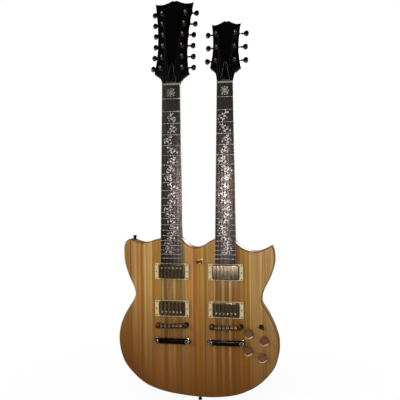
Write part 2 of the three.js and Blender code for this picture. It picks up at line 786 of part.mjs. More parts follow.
function makeStrings(neck, neckGroup, headGroup) {
  const nutMiddle = nutStart + nutThickness / 2;
  const nut = box(
    -neck.nutWidth / 2, neck.nutWidth / 2, -nutRise, boardThickness, nutStart, nutStart + nutThickness,
  );
  const atNut = courseOffsets(neck, neck.nutWidth - 2 * stringEdgeInset);
  const atBridge = courseOffsets(neck, bridgeStringSpread);
  const tailTop = tailpiecePlace + tailpieceLength / 2 + seatGap;
  const tailY = faceY - tailpieceLift - tailpieceDepth / 2;
  let strings = nut;
  for (let i = 0; i < neck.strings; i += 1) {
    const radius = lerp(thickestString, thinnestString, i / (neck.strings - 1)) / 2;
    const anchor = neckGroup.worldToLocal(
      new THREE.Vector3(neckCentre(neck) + atBridge[i], tailY, tailTop + radius),
    );
    const saddleZ = atBridge[i] * Math.tan(bridgeSlant);
    const saddle = new THREE.Vector3(atBridge[i], -stringRiseAtSaddle, saddleZ);
    const slot = new THREE.Vector3(atNut[i], -stringRiseAtNut, nutMiddle);
    const { side, row } = postForString(neck, i);
    const inward = postRadius + seatGap + radius;
    const post = new THREE.Vector3(
      side * (neck.postSpreadShares[row] * neck.headWidth - inward), -stringOverPost,
      neck.firstPost + row * neck.postPitch,
    ).applyMatrix4(headGroup.matrix);
    strings = join(strings, tube([anchor, saddle, slot, post], radius, stringSides));
  }
  return strings;
}

// Pickups: the ring lies on the body and carries the pickup in its window on two height screws
function makePickup() {
  const ringBack = faceY - seatGap;
  const ringFront = ringBack - ringHeight;
  const window = roundedRectangle(
    pickupWidth + 2 * pickupWindowGap, pickupLength + 2 * pickupWindowGap, pickupCornerRadius,
  );
  const ring = cut(
    plate(roundedRectangle(ringWidth, ringLength, ringCornerRadius), ringFront, ringBack, 0, 1),
    plate(window, ringFront - cutOverrun, ringBack + cutOverrun, 0, 1),
  );
  const foot = faceY + pickupSink;
  const cover = plate(
    roundedRectangle(pickupWidth, pickupLength, pickupCornerRadius),
    ringFront - pickupRise, foot, pickupEdgeRadius, 1, 1,
  );
  const [footX, footZ] = [pickupFootWidth / 2, pickupFootLength / 2];
  const feet = box(-footX, footX, foot - pickupFootThickness, foot, -footZ, footZ);
  const screwX = (pickupWidth / 2 + pickupWindowGap + ringWidth / 2) / 2 - pickupScrewRadius;
  const screw = pin(pickupScrewRadius, ringFront, foot, pinSides);
  return join(ring, cover, feet, screw.translate([-screwX, 0, 0]), screw.translate([screwX, 0, 0]));
}

// Bridges: a bar on two studs with thumbwheels, and a channel that holds one saddle to a course
function makeBridge(neck) {
  const stringY = faceY - boardRise - stringRiseAtSaddle;
  const clear = thickestString / 2 + 2 * seatGap;
  const front = stringY + clear + saddleRise;
  const back = front + bridgeDepth;
  const [channelX, channelZ] = [bridgeChannelWidth / 2, bridgeChannelLength / 2];
  const outline = roundedRectangle(bridgeWidth, bridgeLength, bridgeLength * barEndShare);
  let bridge = cut(
    plate(outline, front, back, bridgeEdgeRadius, 2, 1),
    box(-channelX, channelX, front - cutOverrun, front + bridgeChannelDepth, -channelZ, channelZ),
  );
  const courses = 6;
  const saddleHalf = bridgeStringSpread / (courses - 1) * saddleWidthShare / 2;
  for (let c = 0; c < courses; c += 1) {
    const x = lerp(-bridgeStringSpread / 2, bridgeStringSpread / 2, c / (courses - 1));
    const foot = front + bridgeChannelDepth + seatGap;
    const wedge = polygon([
      [seatGap - channelZ, foot], [channelZ - seatGap, foot], [saddleFlat, front - saddleRise],
      [-saddleFlat, front - saddleRise],
    ]);
    const saddle = new THREE.ExtrudeGeometry(wedge, { depth: 2 * saddleHalf, bevelEnabled: false });
    saddle.rotateY(-Math.PI / 2);
    saddle.translate(x + saddleHalf, 0, 0);
    bridge = join(bridge, solidOf(saddle));
  }
  const wheelFront = faceY - seatGap - wheelThickness;
  const stud = join(
    pin(bridgeStudRadius, front + bridgeDepth / 2, faceY + studDepth, pinSides),
    pin(wheelRadius, wheelFront, faceY - seatGap, knobSides),
  );
  const half = bridgeStudSpacing / 2;
  return join(bridge, stud.translate([-half, 0, 0]), stud.translate([half, 0, 0]))
    .rotate([0, -THREE.MathUtils.radToDeg(bridgeSlant), 0]);
}

// Tailpieces: a rounded bar hung on two studs
function makeTailpiece() {
  const back = faceY - tailpieceLift;
  const bar = plate(
    roundedRectangle(tailpieceWidth, tailpieceLength, tailpieceLength * barEndShare),
    back - tailpieceDepth, back, tailpieceEdgeRadius, 2, 1,
  );
  const middle = back - tailpieceDepth / 2;
  const headFront = back - tailpieceDepth - tailpieceStudHeadHeight / 2;
  const stud = join(
    pin(tailpieceStudRadius, middle, faceY + studDepth, pinSides),
    pin(tailpieceStudHeadRadius, headFront, middle, boreSides),
  );
  const half = tailpieceStudSpacing / 2;
  return join(bar, stud.translate([-half, 0, 0]), stud.translate([half, 0, 0]));
}

// Controls
function makeKnob() {
  const base = faceY - seatGap;
  const top = base - knobHeight;
  const shaftEnd = -cavityDepth + cutOverrun;
  return turned([
    [0, top + knobDish],
    [knobTopRadius - knobDish, top + knobDish],
    [knobTopRadius, top],
    [knobTopRadius + knobDish, top + knobDish],
    [knobRadius - knobDish, base - knobSkirtHeight],
    [knobRadius, base - knobSkirtHeight + knobDish],
    [knobRadius, base],
    [knobShaftRadius, base],
    [knobShaftRadius, shaftEnd],
    [0, shaftEnd],
  ], knobSides);
}

function makeLever() {
  const tip = -leverLength;
  const tipFoot = tip + leverTipLength;
  return turned([
    [0, tip],
    [leverTipRadius * leverEndShare, tip],
    [leverTipRadius, tip + leverTipRadius],
    [leverRadius, tipFoot],
    [leverRadius, -leverBallRadius],
    [leverBallRadius, -leverBallRadius / 2],
    [leverBallRadius, leverBallRadius / 2],
    [leverRadius, leverBallRadius],
    [0, leverBallRadius],
  ], boreSides);
}

// Rear covers and the jack
function makeControlCover() {
  const outline = roundedRectangle(controlCoverWidth, controlCoverLength, controlCoverCorner);
  return plate(outline, -coverThickness, 0, 0, 3);
}

function makeJack() {
  const outside = bodyPoint(jackShares)[0];
  const inside = outside - jackBarrelLength + cutOverrun;
  const socket = pin(jackSocketRadius, inside - cutOverrun, outside + cutOverrun, knobSides);
  return alongX(cut(
    join(
      pin(jackPlateRadius, outside - jackPlateThickness, outside, plateSides),
      pin(jackBarrelRadius, inside, outside - jackPlateThickness / 2, knobSides),
    ),
    socket,
  ));
}

// Assembly
place(guitar, 'body', makeBody(), honeyWood);
for (const [key, neck] of Object.entries(necks)) {
  const neckGroup = groupAt(guitar, [neckCentre(neck), faceY - boardRise, 0], -neckAngle);
  const headGroup = groupAt(neckGroup, [0, headDrop, headStart], -headAngle);
  place(neckGroup, `neck_${key}`, makeNeck(neck, neckGroup, headGroup), blackLacquer);
  place(neckGroup, `fretboard_${key}`, makeFretboard(neck), darkBoard);
  place(neckGroup, `strings_and_nut_${key}`, makeStrings(neck, neckGroup, headGroup), steel);
  postPlaces(neck).forEach((post, i) => {
    place(headGroup, `string_post_${key}_${i + 1}`, makePost(), gold).position.set(post.x, 0, post.z);
    const tuningKey = place(headGroup, `tuning_key_${key}_${i + 1}`, makeKey(), darkMetal);
    tuningKey.position.set(post.x, gearMiddle, post.z + wormOffset);
    tuningKey.rotation.y = post.side < 0 ? Math.PI : 0;
  });
  const onBody = groupAt(guitar, [neckCentre(neck), 0, 0]);
  place(onBody, `neck_pickup_${key}`, makePickup(), gold).position.z = neckPickupPlace;
  place(onBody, `bridge_pickup_${key}`, makePickup(), gold).position.z = bridgePickupPlace;
  place(onBody, `bridge_${key}`, makeBridge(neck), darkMetal);
  place(onBody, `tailpiece_${key}`, makeTailpiece(), gold).position.z = tailpiecePlace;
}
knobShares.map(bodyPoint).forEach(([x, z], i) => {
  place(guitar, `knob_${i + 1}`, makeKnob(), amberKnob).position.set(x, 0, z);
});
const leverPivot = faceY - switchNutHeight / 2;
const levers = [
  ['neck_switch_lever', neckSwitchShares, -leverTilt],
  ['pickup_switch_lever', pickupSwitchShares, leverTilt],
];
for (const [name, shares, tilt] of levers) {
  const [x, z] = bodyPoint(shares);
  const lever = place(guitar, name, makeLever(), blackPlastic);
  lever.position.set(x, leverPivot, z);
  lever.rotation.z = tilt;
}
const [coverX, coverZ] = bodyPoint(controlCoverShares);
place(guitar, 'control_cover', makeControlCover(), blackPlastic).position.set(coverX, 0, coverZ);
const [switchX, switchZ] = bodyPoint(neckSwitchShares);
place(guitar, 'switch_cover', pin(switchCoverRadius, -coverThickness, 0, plateSides), blackPlastic)
  .position.set(switchX, 0, switchZ);
const jackZ = bodyPoint(jackShares)[1];
place(guitar, 'output_jack', makeJack(), gold).position.set(0, faceY / 2, jackZ);

export default guitar;
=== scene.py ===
"""The looks of a double-neck electric guitar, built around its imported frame.

The twelve-string neck is on the left and the six-string neck on the right. Sizes are millimetres,
in the part's own frame: X to the right seen from the front, Y to the back, Z up along the necks.
A mesh is turned into metres when it is written.
"""

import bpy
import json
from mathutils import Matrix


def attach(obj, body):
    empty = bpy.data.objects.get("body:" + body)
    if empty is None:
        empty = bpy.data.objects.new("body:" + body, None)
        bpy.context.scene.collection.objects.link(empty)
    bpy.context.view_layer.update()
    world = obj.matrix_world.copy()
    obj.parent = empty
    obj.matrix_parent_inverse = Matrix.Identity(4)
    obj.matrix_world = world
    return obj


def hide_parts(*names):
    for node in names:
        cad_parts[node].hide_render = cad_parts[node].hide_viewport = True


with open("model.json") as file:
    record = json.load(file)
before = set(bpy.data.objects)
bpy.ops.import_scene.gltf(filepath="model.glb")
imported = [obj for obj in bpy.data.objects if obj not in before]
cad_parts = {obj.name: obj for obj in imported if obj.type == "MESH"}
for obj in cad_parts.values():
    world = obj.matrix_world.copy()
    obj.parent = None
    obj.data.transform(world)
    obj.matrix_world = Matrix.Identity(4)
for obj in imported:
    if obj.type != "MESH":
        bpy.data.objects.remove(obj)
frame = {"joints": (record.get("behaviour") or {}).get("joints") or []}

import copy
import json
import logging
import math
from dataclasses import dataclass
from enum import Enum
from functools import lru_cache
from typing import Sequence

import bmesh
import bpy
import numpy as np
from mathutils import Matrix, Vector

log = logging.getLogger("guitar")
MM = 0.001
Pair = tuple[float, float]
Triple = tuple[float, float, float]
Outline = list[Pair]
Socket = bpy.types.NodeSocket

# The whole instrument
SCALE_LENGTH = 628.65
FRETS = 22
FRETS_PER_OCTAVE = 12
COURSES = 6
KNOBS = 4
NECK_SPACING = 142.7
NECK_ANGLE = math.radians(2.2)
HEAD_ANGLE = math.radians(10)
SEAT = 0.3
CREASE_ANGLE = 38.0
BACKWARDS = Matrix.Rotation(math.pi, 4, "X")

# The body
FACE = -42.0
BODY_WIDTH = 427.0
BODY_LENGTH = 416.0
BODY_TAIL = 0.453 * BODY_LENGTH
HEEL_LINE = 0.999 * BODY_LENGTH - BODY_TAIL
CAVITY_DEPTH = 29.0

# The boards, nuts and heads
BOARD_THICKNESS = 6.0
SHOULDER = 1.6
BOARD_RISE = BOARD_THICKNESS * math.cos(NECK_ANGLE) + HEEL_LINE * math.sin(NECK_ANGLE) + SHOULDER
PAST_LAST_FRET = 12.0
BOARD_END = SCALE_LENGTH / 2 ** (FRETS / FRETS_PER_OCTAVE) - PAST_LAST_FRET
NUT_START = SCALE_LENGTH + SEAT
NUT_THICKNESS = 5.0
PAST_NUT = 1.0
HEAD_START = NUT_START + NUT_THICKNESS + PAST_NUT
HEAD_DROP = 3.6
HEAD_THICKNESS = 15.0
HEAD_PLACE = Matrix.Translation((0, HEAD_DROP, HEAD_START)) @ Matrix.Rotation(-HEAD_ANGLE, 4, "X")

# Pickups, bridges and tailpieces
RING_LENGTH = 42.7
RING_GAP = 2.0
NECK_PICKUP_PLACE = BOARD_END - RING_GAP - RING_LENGTH / 2
BRIDGE_PICKUP_PLACE = 43.8
POLE_OFFSET = 9.0
PICKUP_DEPTH = 12.0
BRIDGE_SPREAD = 52.0
BRIDGE_SLANT = math.radians(2.3)
COURSE_PITCH = BRIDGE_SPREAD / (COURSES - 1)
STRING_RISE_AT_SADDLE = 3.6
STRING_PLANE = FACE - BOARD_RISE - STRING_RISE_AT_SADDLE
STUD_DEPTH = 14.0
TAILPIECE_PLACE = -40.8
TAILPIECE_LENGTH = 14.3
TAILPIECE_DEPTH = 10.0
TAILPIECE_LIFT = 4.5


class Slot(Enum):
    """The record's material slots, one named for each piece."""

    WOOD = "honey_wood"
    LACQUER = "black_lacquer"
    BOARD = "dark_fretboard"
    GOLD = "gold_plate"
    NICKEL = "dark_nickel"
    STEEL = "string_steel"
    AMBER = "amber_knob"
    BLACK = "black_plastic"


class Side(Enum):
    """Which neck, or which side of a head."""

    LEFT = -1
    RIGHT = 1


def body_point(shares: Pair) -> Pair:
    """X and Z of the body's point at a share of its width, and of its length from the tail."""
    return (shares[0] * BODY_WIDTH, shares[1] * BODY_LENGTH - BODY_TAIL)


def hex_colour(code: str) -> tuple[float, float, float, float]:
    """A web colour of six hexadecimal digits, as the linear values that a shader takes."""
    levels = [int(code[i:i + 2], 16) / 255 for i in (0, 2, 4)]
    linear = [v / 12.92 if v <= 0.04045 else ((v + 0.055) / 1.055) ** 2.4 for v in levels]
    return (linear[0], linear[1], linear[2], 1.0)


def mix(low: float, high: float, share: float) -> float:
    """The value that lies a share of the way from low to high."""
    return low + (high - low) * share


def across_courses(pitch: float) -> list[float]:
    """Where the six courses lie to the left and right of the middle line."""
    return [(k - (COURSES - 1) / 2) * pitch for k in range(COURSES)]


def link(name: str, data: bpy.types.ID) -> bpy.types.Object:
    """Makes an object of that data and puts it in the scene."""
    made = bpy.data.objects.new(name, data)
    bpy.context.scene.collection.objects.link(made)
    return made


def ease(share: float) -> float:
    """An S-curve from 0 to 1 over a share that is kept in that range."""
    kept = min(max(share, 0.0), 1.0)
    return kept * kept * (3 - 2 * kept)


def table_at(table: Sequence[Pair], place: float) -> float:
    """Reads a table of rising places and their values, with straight lines between its rows."""
    return float(np.interp(place, [row[0] for row in table], [row[1] for row in table]))


# Plane outlines, in X and Z
def spline(points: Sequence[Pair], steps: int) -> Outline:
    """A smooth curve through points.

    Args:
        points: the points, with the first and last where the curve starts and ends.
        steps: straight steps from each point to the next.

    Returns:
        The curve's points, both ends included.
    """
    last = len(points) - 1
    line: Outline = []
    for i in range(last):
        before, start, end, after = (
            np.array(points[max(min(k, last), 0)]) for k in (i - 1, i, i + 1, i + 2)
        )
        leave, arrive = (end - before) / 2, (after - start) / 2
        for k in range(steps):
            t = k / steps
            cube = (2 * start - 2 * end + leave + arrive) * t ** 3
            square = (3 * end - 3 * start - 2 * leave - arrive) * t ** 2
            line.append(tuple(cube + square + leave * t + start))
    return [*line, points[-1]]


def rounded_rectangle(width: float, length: float, corner: float, steps: int = 6) -> Outline:
    """A rectangle with round corners about the origin.

    Args:
        width: its size along X.
        length: its size along Z.
        corner: the radius of its corners.
        steps: straight steps to a corner.

    Returns:
        Its points, anticlockwise.
    """
    outline: Outline = []
    for quarter, (side, end) in enumerate(((1, 1), (-1, 1), (-1, -1), (1, -1))):
        for k in range(steps + 1):
            angle = (quarter + k / steps) * math.pi / 2
            x = side * (width / 2 - corner) + corner * math.cos(angle)
            z = end * (length / 2 - corner) + corner * math.sin(angle)
            outline.append((x, z))
    return outline


def circle(radius: float, sides: int = 32, wave: float = 0.0, waves: int = 0) -> Outline:
    """A circle, or one with knurls.

    Args:
        radius: its radius.
        sides: its corners.
        wave: how deep the knurls are.
        waves: how many knurls go round it.

    Returns:
        Its points.
    """
    outline: Outline = []
    for k in range(sides):
        angle = 2 * math.pi * k / sides
        reach = radius - wave * (1 + math.cos(waves * angle)) / 2
        outline.append((reach * math.cos(angle), reach * math.sin(angle)))
    return outline


def inset(outline: Outline, depth: float) -> Outline:
    """Moves an outline inwards, and closes up the points that would cross.

    Args:
        outline: the points of a closed outline.
        depth: how far inwards.

    Returns:
        As many points, each at that depth or between two that are.
    """
    if depth == 0:
        return list(outline)
    tiny, least_lean, kept_share = 1e-6, 0.35, 0.98
    points = np.array(outline, float)
    after = np.roll(points, -1, axis=0)
    ahead = after - points
    turn = np.sum(points[:, 0] * after[:, 1] - after[:, 0] * points[:, 1])
    length = np.maximum(np.linalg.norm(ahead, axis=1), tiny)[:, None]
    inward = np.stack((-ahead[:, 1], ahead[:, 0]), axis=1) / length * np.sign(turn)
    middle = inward + np.roll(inward, 1, axis=0)
    middle /= np.maximum(np.linalg.norm(middle, axis=1), tiny)[:, None]
    lean = np.clip(np.sum(middle * inward, axis=1), least_lean, 1)
    moved = points + middle * (depth / lean)[:, None]
    offset = moved[:, None, :] - points[None, :, :]
    along = np.clip(np.sum(offset * ahead, axis=2) / length[:, 0] ** 2, 0, 1)
    nearest = np.linalg.norm(offset - along[:, :, None] * ahead, axis=2).min(axis=1)
    good = np.flatnonzero(nearest > abs(depth) * kept_share)
    if depth < 0 or len(good) < 3:
        good = np.arange(len(points))
    places = np.arange(len(points))
    closed = [np.interp(places, good, moved[good, axis], period=len(points)) for axis in (0, 1)]
    return list(zip(*closed))


def at_depth(outline: Outline, y: float) -> list[Triple]:
    """The points of an outline, at a depth."""
    return [(x, y, z) for x, z in outline]


def round_edge(
    outline: Outline, level: float, radius: float, steps: int, back: int = 1, inwards: int = 1,
) -> list[list[Triple]]:
    """The rings of a rounded edge, from its face to its side.

    Args:
        outline: the side's points.
        level: the face's depth.
        radius: the rounding's radius; at 0 the edge is one ring.
        steps: straight steps to the rounding.
        back: 1 if the side runs to the back, -1 if to the front.
        inwards: 1 if the face lies inside the outline, -1 if around it.

    Returns:
        The rings.
    """
    angles = [math.pi / 2 * k / steps for k in range(steps + 1)] if radius > 0 else [math.pi / 2]
    return [
        at_depth(
            inset(outline, inwards * radius * (1 - math.sin(angle))),
            level + back * radius * (1 - math.cos(angle)),
        )
        for angle in angles
    ]


class Draft:
    """A mesh that is being built in millimetres, in a frame of its own."""

    def __init__(self, place: Matrix | None = None) -> None:
        """Starts an empty mesh in a frame with that place in the part."""
        self.mesh = bmesh.new()
        self.place = place or Matrix.Identity(4)
        self.coat = 0

    def at(self, offset: Triple = (0, 0, 0), turn: Matrix | None = None, coat: int | None = None) -> "Draft":
        """The same mesh, written to in a frame moved and turned in this one, or with another finish."""
        view = self.framed(self.place @ Matrix.Translation(offset) @ (turn or Matrix.Identity(4)))
        view.coat = self.coat if coat is None else coat
        return view

    def framed(self, place: Matrix) -> "Draft":
        """The same mesh, written to in a frame whose place in the part is given."""
        view = copy.copy(self)
        view.place = place
        return view

    def _face(self, corners: Sequence[bmesh.types.BMVert], smooth: bool = True) -> None:
        """Adds one face, shaded smooth or flat."""
        face = self.mesh.faces.new(corners)
        face.material_index = self.coat
        face.smooth = smooth

    def skin(self, rings: Sequence[Sequence[Sequence[float]]], looped: bool = False) -> None:
        """Stretches a skin over rings of points; a ring of one point is a tip.

        Args:
            rings: the rings, with as many points each unless one is a tip.
            looped: whether the last ring joins the first, with no caps.
        """
        add = self.mesh.verts.new
        made = [[add(self.place @ Vector(point)) for point in ring] for ring in rings]
        pairs = list(zip(made, made[1:])) + ([(made[-1], made[0])] if looped else [])
        for low, high in pairs:
            for k in range(max(len(low), len(high))):
                a, b = low[k % len(low)], low[(k + 1) % len(low)]
                c, d = high[(k + 1) % len(high)], high[k % len(high)]
                self._face(list(dict.fromkeys((a, b, c, d))))
        for ring in () if looped else (made[0], made[-1]):
            if len(ring) > 2:
                self._face(ring, smooth=False)

    def lathe(self, profile: Sequence[Pair], sides: int = 32) -> None:
        """Turns a profile of radius and depth about the Y axis."""
        tip = [(0.0, 0.0)]
        self.skin([at_depth(circle(radius, sides) if radius else tip, y) for radius, y in profile])

    def pin(self, radius: float, front: float, back: float, sides: int = 32) -> None:
        """A round pin along the Y axis, from a front to a back."""
        self.lathe([(0, front), (radius, front), (radius, back), (0, back)], sides)

    def slab(
        self, outline: Outline, front: float, back: float, rounding: float = 0.0,
        back_rounding: float | None = None, steps: int = 4, band: float = 0.0,
    ) -> None:
        """A plate of that outline with round edges.

        Args:
            outline: its points in X and Z.
            front: the front face's depth.
            back: the back face's depth.
            rounding: the radius of its front edge.
            back_rounding: the radius of its back edge, or the front's if left out.
            steps: straight steps to a rounding.
            band: a flat rim inside the front rounding, which keeps a mirror face true.
        """
        soft_back = rounding if back_rounding is None else back_rounding
        rim = [at_depth(inset(outline, rounding + band), front)] if band > 0 else []
        back_edge = round_edge(outline, back, soft_back, steps, back=-1)
        self.skin([*rim, *round_edge(outline, front, rounding, steps), *back_edge[::-1]])

    def frame(
        self, outer: Outline, inner: Outline, front: float, back: float, rounding: float, steps: int = 4,
    ) -> None:
        """A plate with a window, its front edges rounded; both outlines have as many points.

        Args:
            outer: the outside outline.
            inner: the window's outline.
            front: the front face's depth.
            back: the back face's depth.
            rounding: the radius of the front edges.
            steps: straight steps to a rounding.
        """
        outside = round_edge(outer, front, rounding, steps)[::-1]
        window = round_edge(inner, front, rounding, steps, inwards=-1)
        self.skin([at_depth(outer, back), *outside, *window, at_depth(inner, back)], looped=True)

    def tube(
        self, route: Sequence[Vector], radius: float, sides: int = 8, across: Triple = (1, 0, 0),
    ) -> None:
        """A round wire along a route.

        Args:
            route: the points that it follows.
            radius: its radius.
            sides: corners round it.
            across: a direction that the route never takes.
        """
        rings = []
        last = len(route) - 1
        for i, point in enumerate(route):
            along = (route[min(i + 1, last)] - route[max(i - 1, 0)]).normalized()
            up = along.cross(Vector(across)).normalized()
            right = up.cross(along)
            rings.append([point + x * right + z * up for x, z in circle(radius, sides)])
        self.skin(rings)

    def screw(
        self, radius: float, height: float, slot_turn: float = 0.6, slot_share: float = 0.16,
    ) -> None:
        """A screw head with a slot, seated on the frame's origin and pointing to the front.

        Args:
            radius: the head's radius.
            height: how far it stands out.
            slot_turn: which way the slot runs, in radians.
            slot_share: half the slot's width as a share of the radius.
        """
        self.pin(radius, -height / 2, 0, 20)
        low = math.asin(slot_share)
        angles = np.linspace(low, math.pi - low, 10)
        half = [(radius * math.cos(angle), radius * math.sin(angle)) for angle in angles]
        for flip in (0, math.pi):
            turned = self.at(turn=Matrix.Rotation(slot_turn + flip, 4, "Y"))
            turned.slab(half, -height, -height / 2, min(height, radius) / 4, 0, 2)

    def written(self, name: str) -> bpy.types.Object:
        """Writes the mesh out in metres, as an object in the scene."""
        bmesh.ops.recalc_face_normals(self.mesh, faces=self.mesh.faces)
        self.mesh.transform(Matrix.Scale(MM, 4))
        data = bpy.data.meshes.new(name)
        self.mesh.to_mesh(data)
        self.mesh.free()
        return link(name, data)

    def piece(
        self, name: str, slot: Slot, finishes: Sequence["Look"], body: str = "root",
        replaces: Sequence[str] = (), crease: float = CREASE_ANGLE,
    ) -> bpy.types.Object:
        """Writes the mesh as a piece of the guitar.

        Args:
            name: the piece's name.
            slot: the record's slot for the piece; not used.
            finishes: its finishes, in the order that the faces count them.
            body: the CAD body that it moves with.
            replaces: the CAD nodes that it stands for.
            crease: the angle in degrees from which an edge stays sharp.

        Returns:
            The piece.
        """
        made = self.written(name)
        made.data.set_sharp_from_angle(angle=math.radians(crease))
        for finish in finishes:
            made.data.materials.append(finish.material())
        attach(made, body)
        if replaces:
            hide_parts(*replaces)
        log.info("%s: %d faces, on %s", name, len(made.data.polygons), body)
        return made


# Shader nodes
class Graph:
    """A short way to write shader nodes: each call makes one node and feeds its inputs."""

    def __init__(self, tree: bpy.types.NodeTree) -> None:
        """Takes the tree that the nodes go into."""
        self.tree = tree

    def feed(self, socket: Socket, value: object) -> None:
        """Links a socket to an input, or sets the input's own value."""
        if isinstance(value, Socket):
            self.tree.links.new(value, socket)
        else:
            socket.default_value = value

    def wire(self, node: bpy.types.Node, **inputs: object) -> None:
        """Feeds a node's inputs, each by its name with _ for a space."""
        for key, value in inputs.items():
            self.feed(node.inputs[key.replace("_", " ")], value)

    def node(self, kind: str, settings: dict | None, *values: object, **inputs: object) -> bpy.types.Node:
        """Makes a node.

        Args:
            kind: its type in Blender, without ShaderNode in front.
            settings: the properties to set on it.
            *values: values or sockets for its first inputs, in order.
            **inputs: values or sockets for its inputs by name, as wire takes them.

        Returns:
            The node.
        """
        made = self.tree.nodes.new("ShaderNode" + kind)
        for key, value in (settings or {}).items():
            setattr(made, key, value)
        for socket, value in zip(made.inputs, values):
            self.feed(socket, value)
        self.wire(made, **inputs)
        return made

    def group(self, tree: bpy.types.NodeTree, **inputs: object) -> bpy.types.NodeOutputs:
        """Places a node group, and gives its outputs."""
        return self.node("Group", {"node_tree": tree}, **inputs).outputs

    def math(self, operation: str, first: object, second: object, clamp: bool = False) -> Socket:
        """One step of arithmetic on numbers or sockets, kept between 0 and 1 if it is clamped."""
        settings = {"operation": operation, "use_clamp": clamp}
        return self.node("Math", settings, first, second).outputs[0]

    def times(self, first: object, second: object, clamp: bool = False) -> Socket:
        """The product of two numbers or sockets."""
        return self.math("MULTIPLY", first, second, clamp)

    def around_zero(self, value: object, reach: float) -> Socket:
        """A value between 0 and 1, moved to lie about zero and scaled to a reach."""
        return self.times(self.math("SUBTRACT", value, 0.5), reach)

    def blend(self, share: object, first: object, second: object, mode: str = "MIX") -> Socket:
        """Mixes two colours, with a share of the second one."""
        made = self.node("Mix", {"data_type": "RGBA", "blend_type": mode})
        for index, value in ((0, share), (6, first), (7, second)):
            self.feed(made.inputs[index], value)
        return made.outputs[2]

    def overlay(self, share: object, first: object, second: object) -> Socket:
        """Mixes two shaders."""
        return self.node("MixShader", None, share, first, second).outputs[0]

    def spread(
        self, value: object, low: float = 0.0, high: float = 1.0, start: float = 0.0, end: float = 1.0,
    ) -> Socket:
        """Stretches a value that runs from start to end, to run from low to high and stay there."""
        span = {"From_Min": start, "From_Max": end, "To_Min": low, "To_Max": high}
        return self.node("MapRange", None, Value=value, **span).outputs[0]

    def ramp(self, value: object, stops: Sequence[tuple[float, tuple]], step: str = "LINEAR") -> Socket:
        """Reads a colour from a ramp.

        Args:
            value: the socket that says where.
            stops: places and colours.
            step: how the ramp goes from stop to stop.

        Returns:
            The socket that holds the colour.
        """
        made = self.node("ValToRGB", None, Fac=value)
        made.color_ramp.interpolation = step
        elements = made.color_ramp.elements
        while len(elements) < len(stops):
            elements.new(1.0)
        for element, (place, colour) in zip(elements, stops):
            element.position = place
            element.color = colour
        return made.outputs[0]

    def noise(self, vector: object, scale: object, detail: float, roughness: float = 0.55) -> Socket:
        """A cloudy pattern from 0 to 1, read at a vector, with finer layers of that roughness."""
        layers = {"Detail": detail, "Roughness": roughness}
        return self.node("TexNoise", None, Vector=vector, Scale=scale, **layers).outputs[0]

    def bump(self, height: object, depth: float, strength: float) -> Socket:
        """The normal of a surface with that height, at a depth in metres."""
        return self.node("Bump", None, Height=height, Distance=depth, Strength=strength).outputs[0]

    def place(self) -> Socket:
        """Where on the piece a point lies, in metres in the part's frame."""
        return self.node("TexCoord", None).outputs["Object"]

    def stretched_place(self, scale: Triple, turn: Triple = (0, 0, 0)) -> Socket:
        """The same place, turned and with its axes scaled."""
        made = self.node("Mapping", None, Vector=self.place(), Scale=scale, Rotation=turn)
        return made.outputs[0]

    def coordinate(self, vector: object, axis: str) -> Socket:
        """One coordinate of a vector."""
        return self.node("SeparateXYZ", None, Vector=vector).outputs[axis]

    def facing(self, axis: str) -> Socket:
        """How far the surface faces along an axis, from -1 to 1."""
        return self.coordinate(self.node("NewGeometry", None).outputs["Normal"], axis)


def open_group(name: str, inputs: dict[str, str], outputs: dict[str, str]) -> tuple:
    """Starts a shader node group with named sockets.

    Args:
        name: the group's name.
        inputs: names of its inputs, with their kinds, such as Float or Color.
        outputs: the same for its outputs.

    Returns:
        The group's tree, its graph, the sockets of its inputs and its output node.
    """
    tree = bpy.data.node_groups.new(name, "ShaderNodeTree")
    for way, rows in (("INPUT", inputs), ("OUTPUT", outputs)):
        for label, kind in rows.items():
            tree.interface.new_socket(name=label, in_out=way, socket_type="NodeSocket" + kind)
    graph = Graph(tree)
    return tree, graph, tree.nodes.new("NodeGroupInput").outputs, tree.nodes.new("NodeGroupOutput")


LAYERS = {"Colour": "Color", "Roughness": "Float", "Height": "Float"}


@lru_cache(maxsize=None)
def grain_group() -> bpy.types.NodeTree:
    """Wood grain along Z, for colour, roughness and height: fibres, pores and slow changes of tone."""
    inputs = {"Base": "Color", "Dark": "Color", "Across": "Float", "Along": "Float", "Amount": "Float"}
    tree, graph, given, result = open_group("wood_grain", inputs, LAYERS)
    base, dark, across = given["Base"], given["Dark"], given["Across"]
    scale = graph.node("CombineXYZ", None, across, across, given["Along"]).outputs[0]
    where = graph.node("VectorMath", {"operation": "MULTIPLY"}, graph.place(), scale).outputs[0]
    fibres = graph.noise(where, 1.0, detail=5.0, roughness=0.62)
    bands = graph.noise(where, 0.22, detail=2.0)
    pores = graph.noise(where, 3.4, detail=2.0)
    pore_level, pore_darkness, pore_depth = 0.36, 0.3, 0.5
    fibre_share = graph.times(graph.spread(fibres, -0.35, 1.25), given["Amount"], clamp=True)
    toned = graph.blend(fibre_share, base, dark)
    pore_share = graph.times(graph.math("LESS_THAN", pores, pore_level), pore_darkness)
    pored = graph.blend(pore_share, toned, dark)
    graph.wire(
        result,
        Colour=graph.blend(graph.spread(bands, -0.1, 0.42), pored, base),
        Roughness=graph.spread(fibres, 0.26, 0.46),
        Height=graph.math("SUBTRACT", fibres, graph.times(pores, pore_depth)),
    )
    return tree


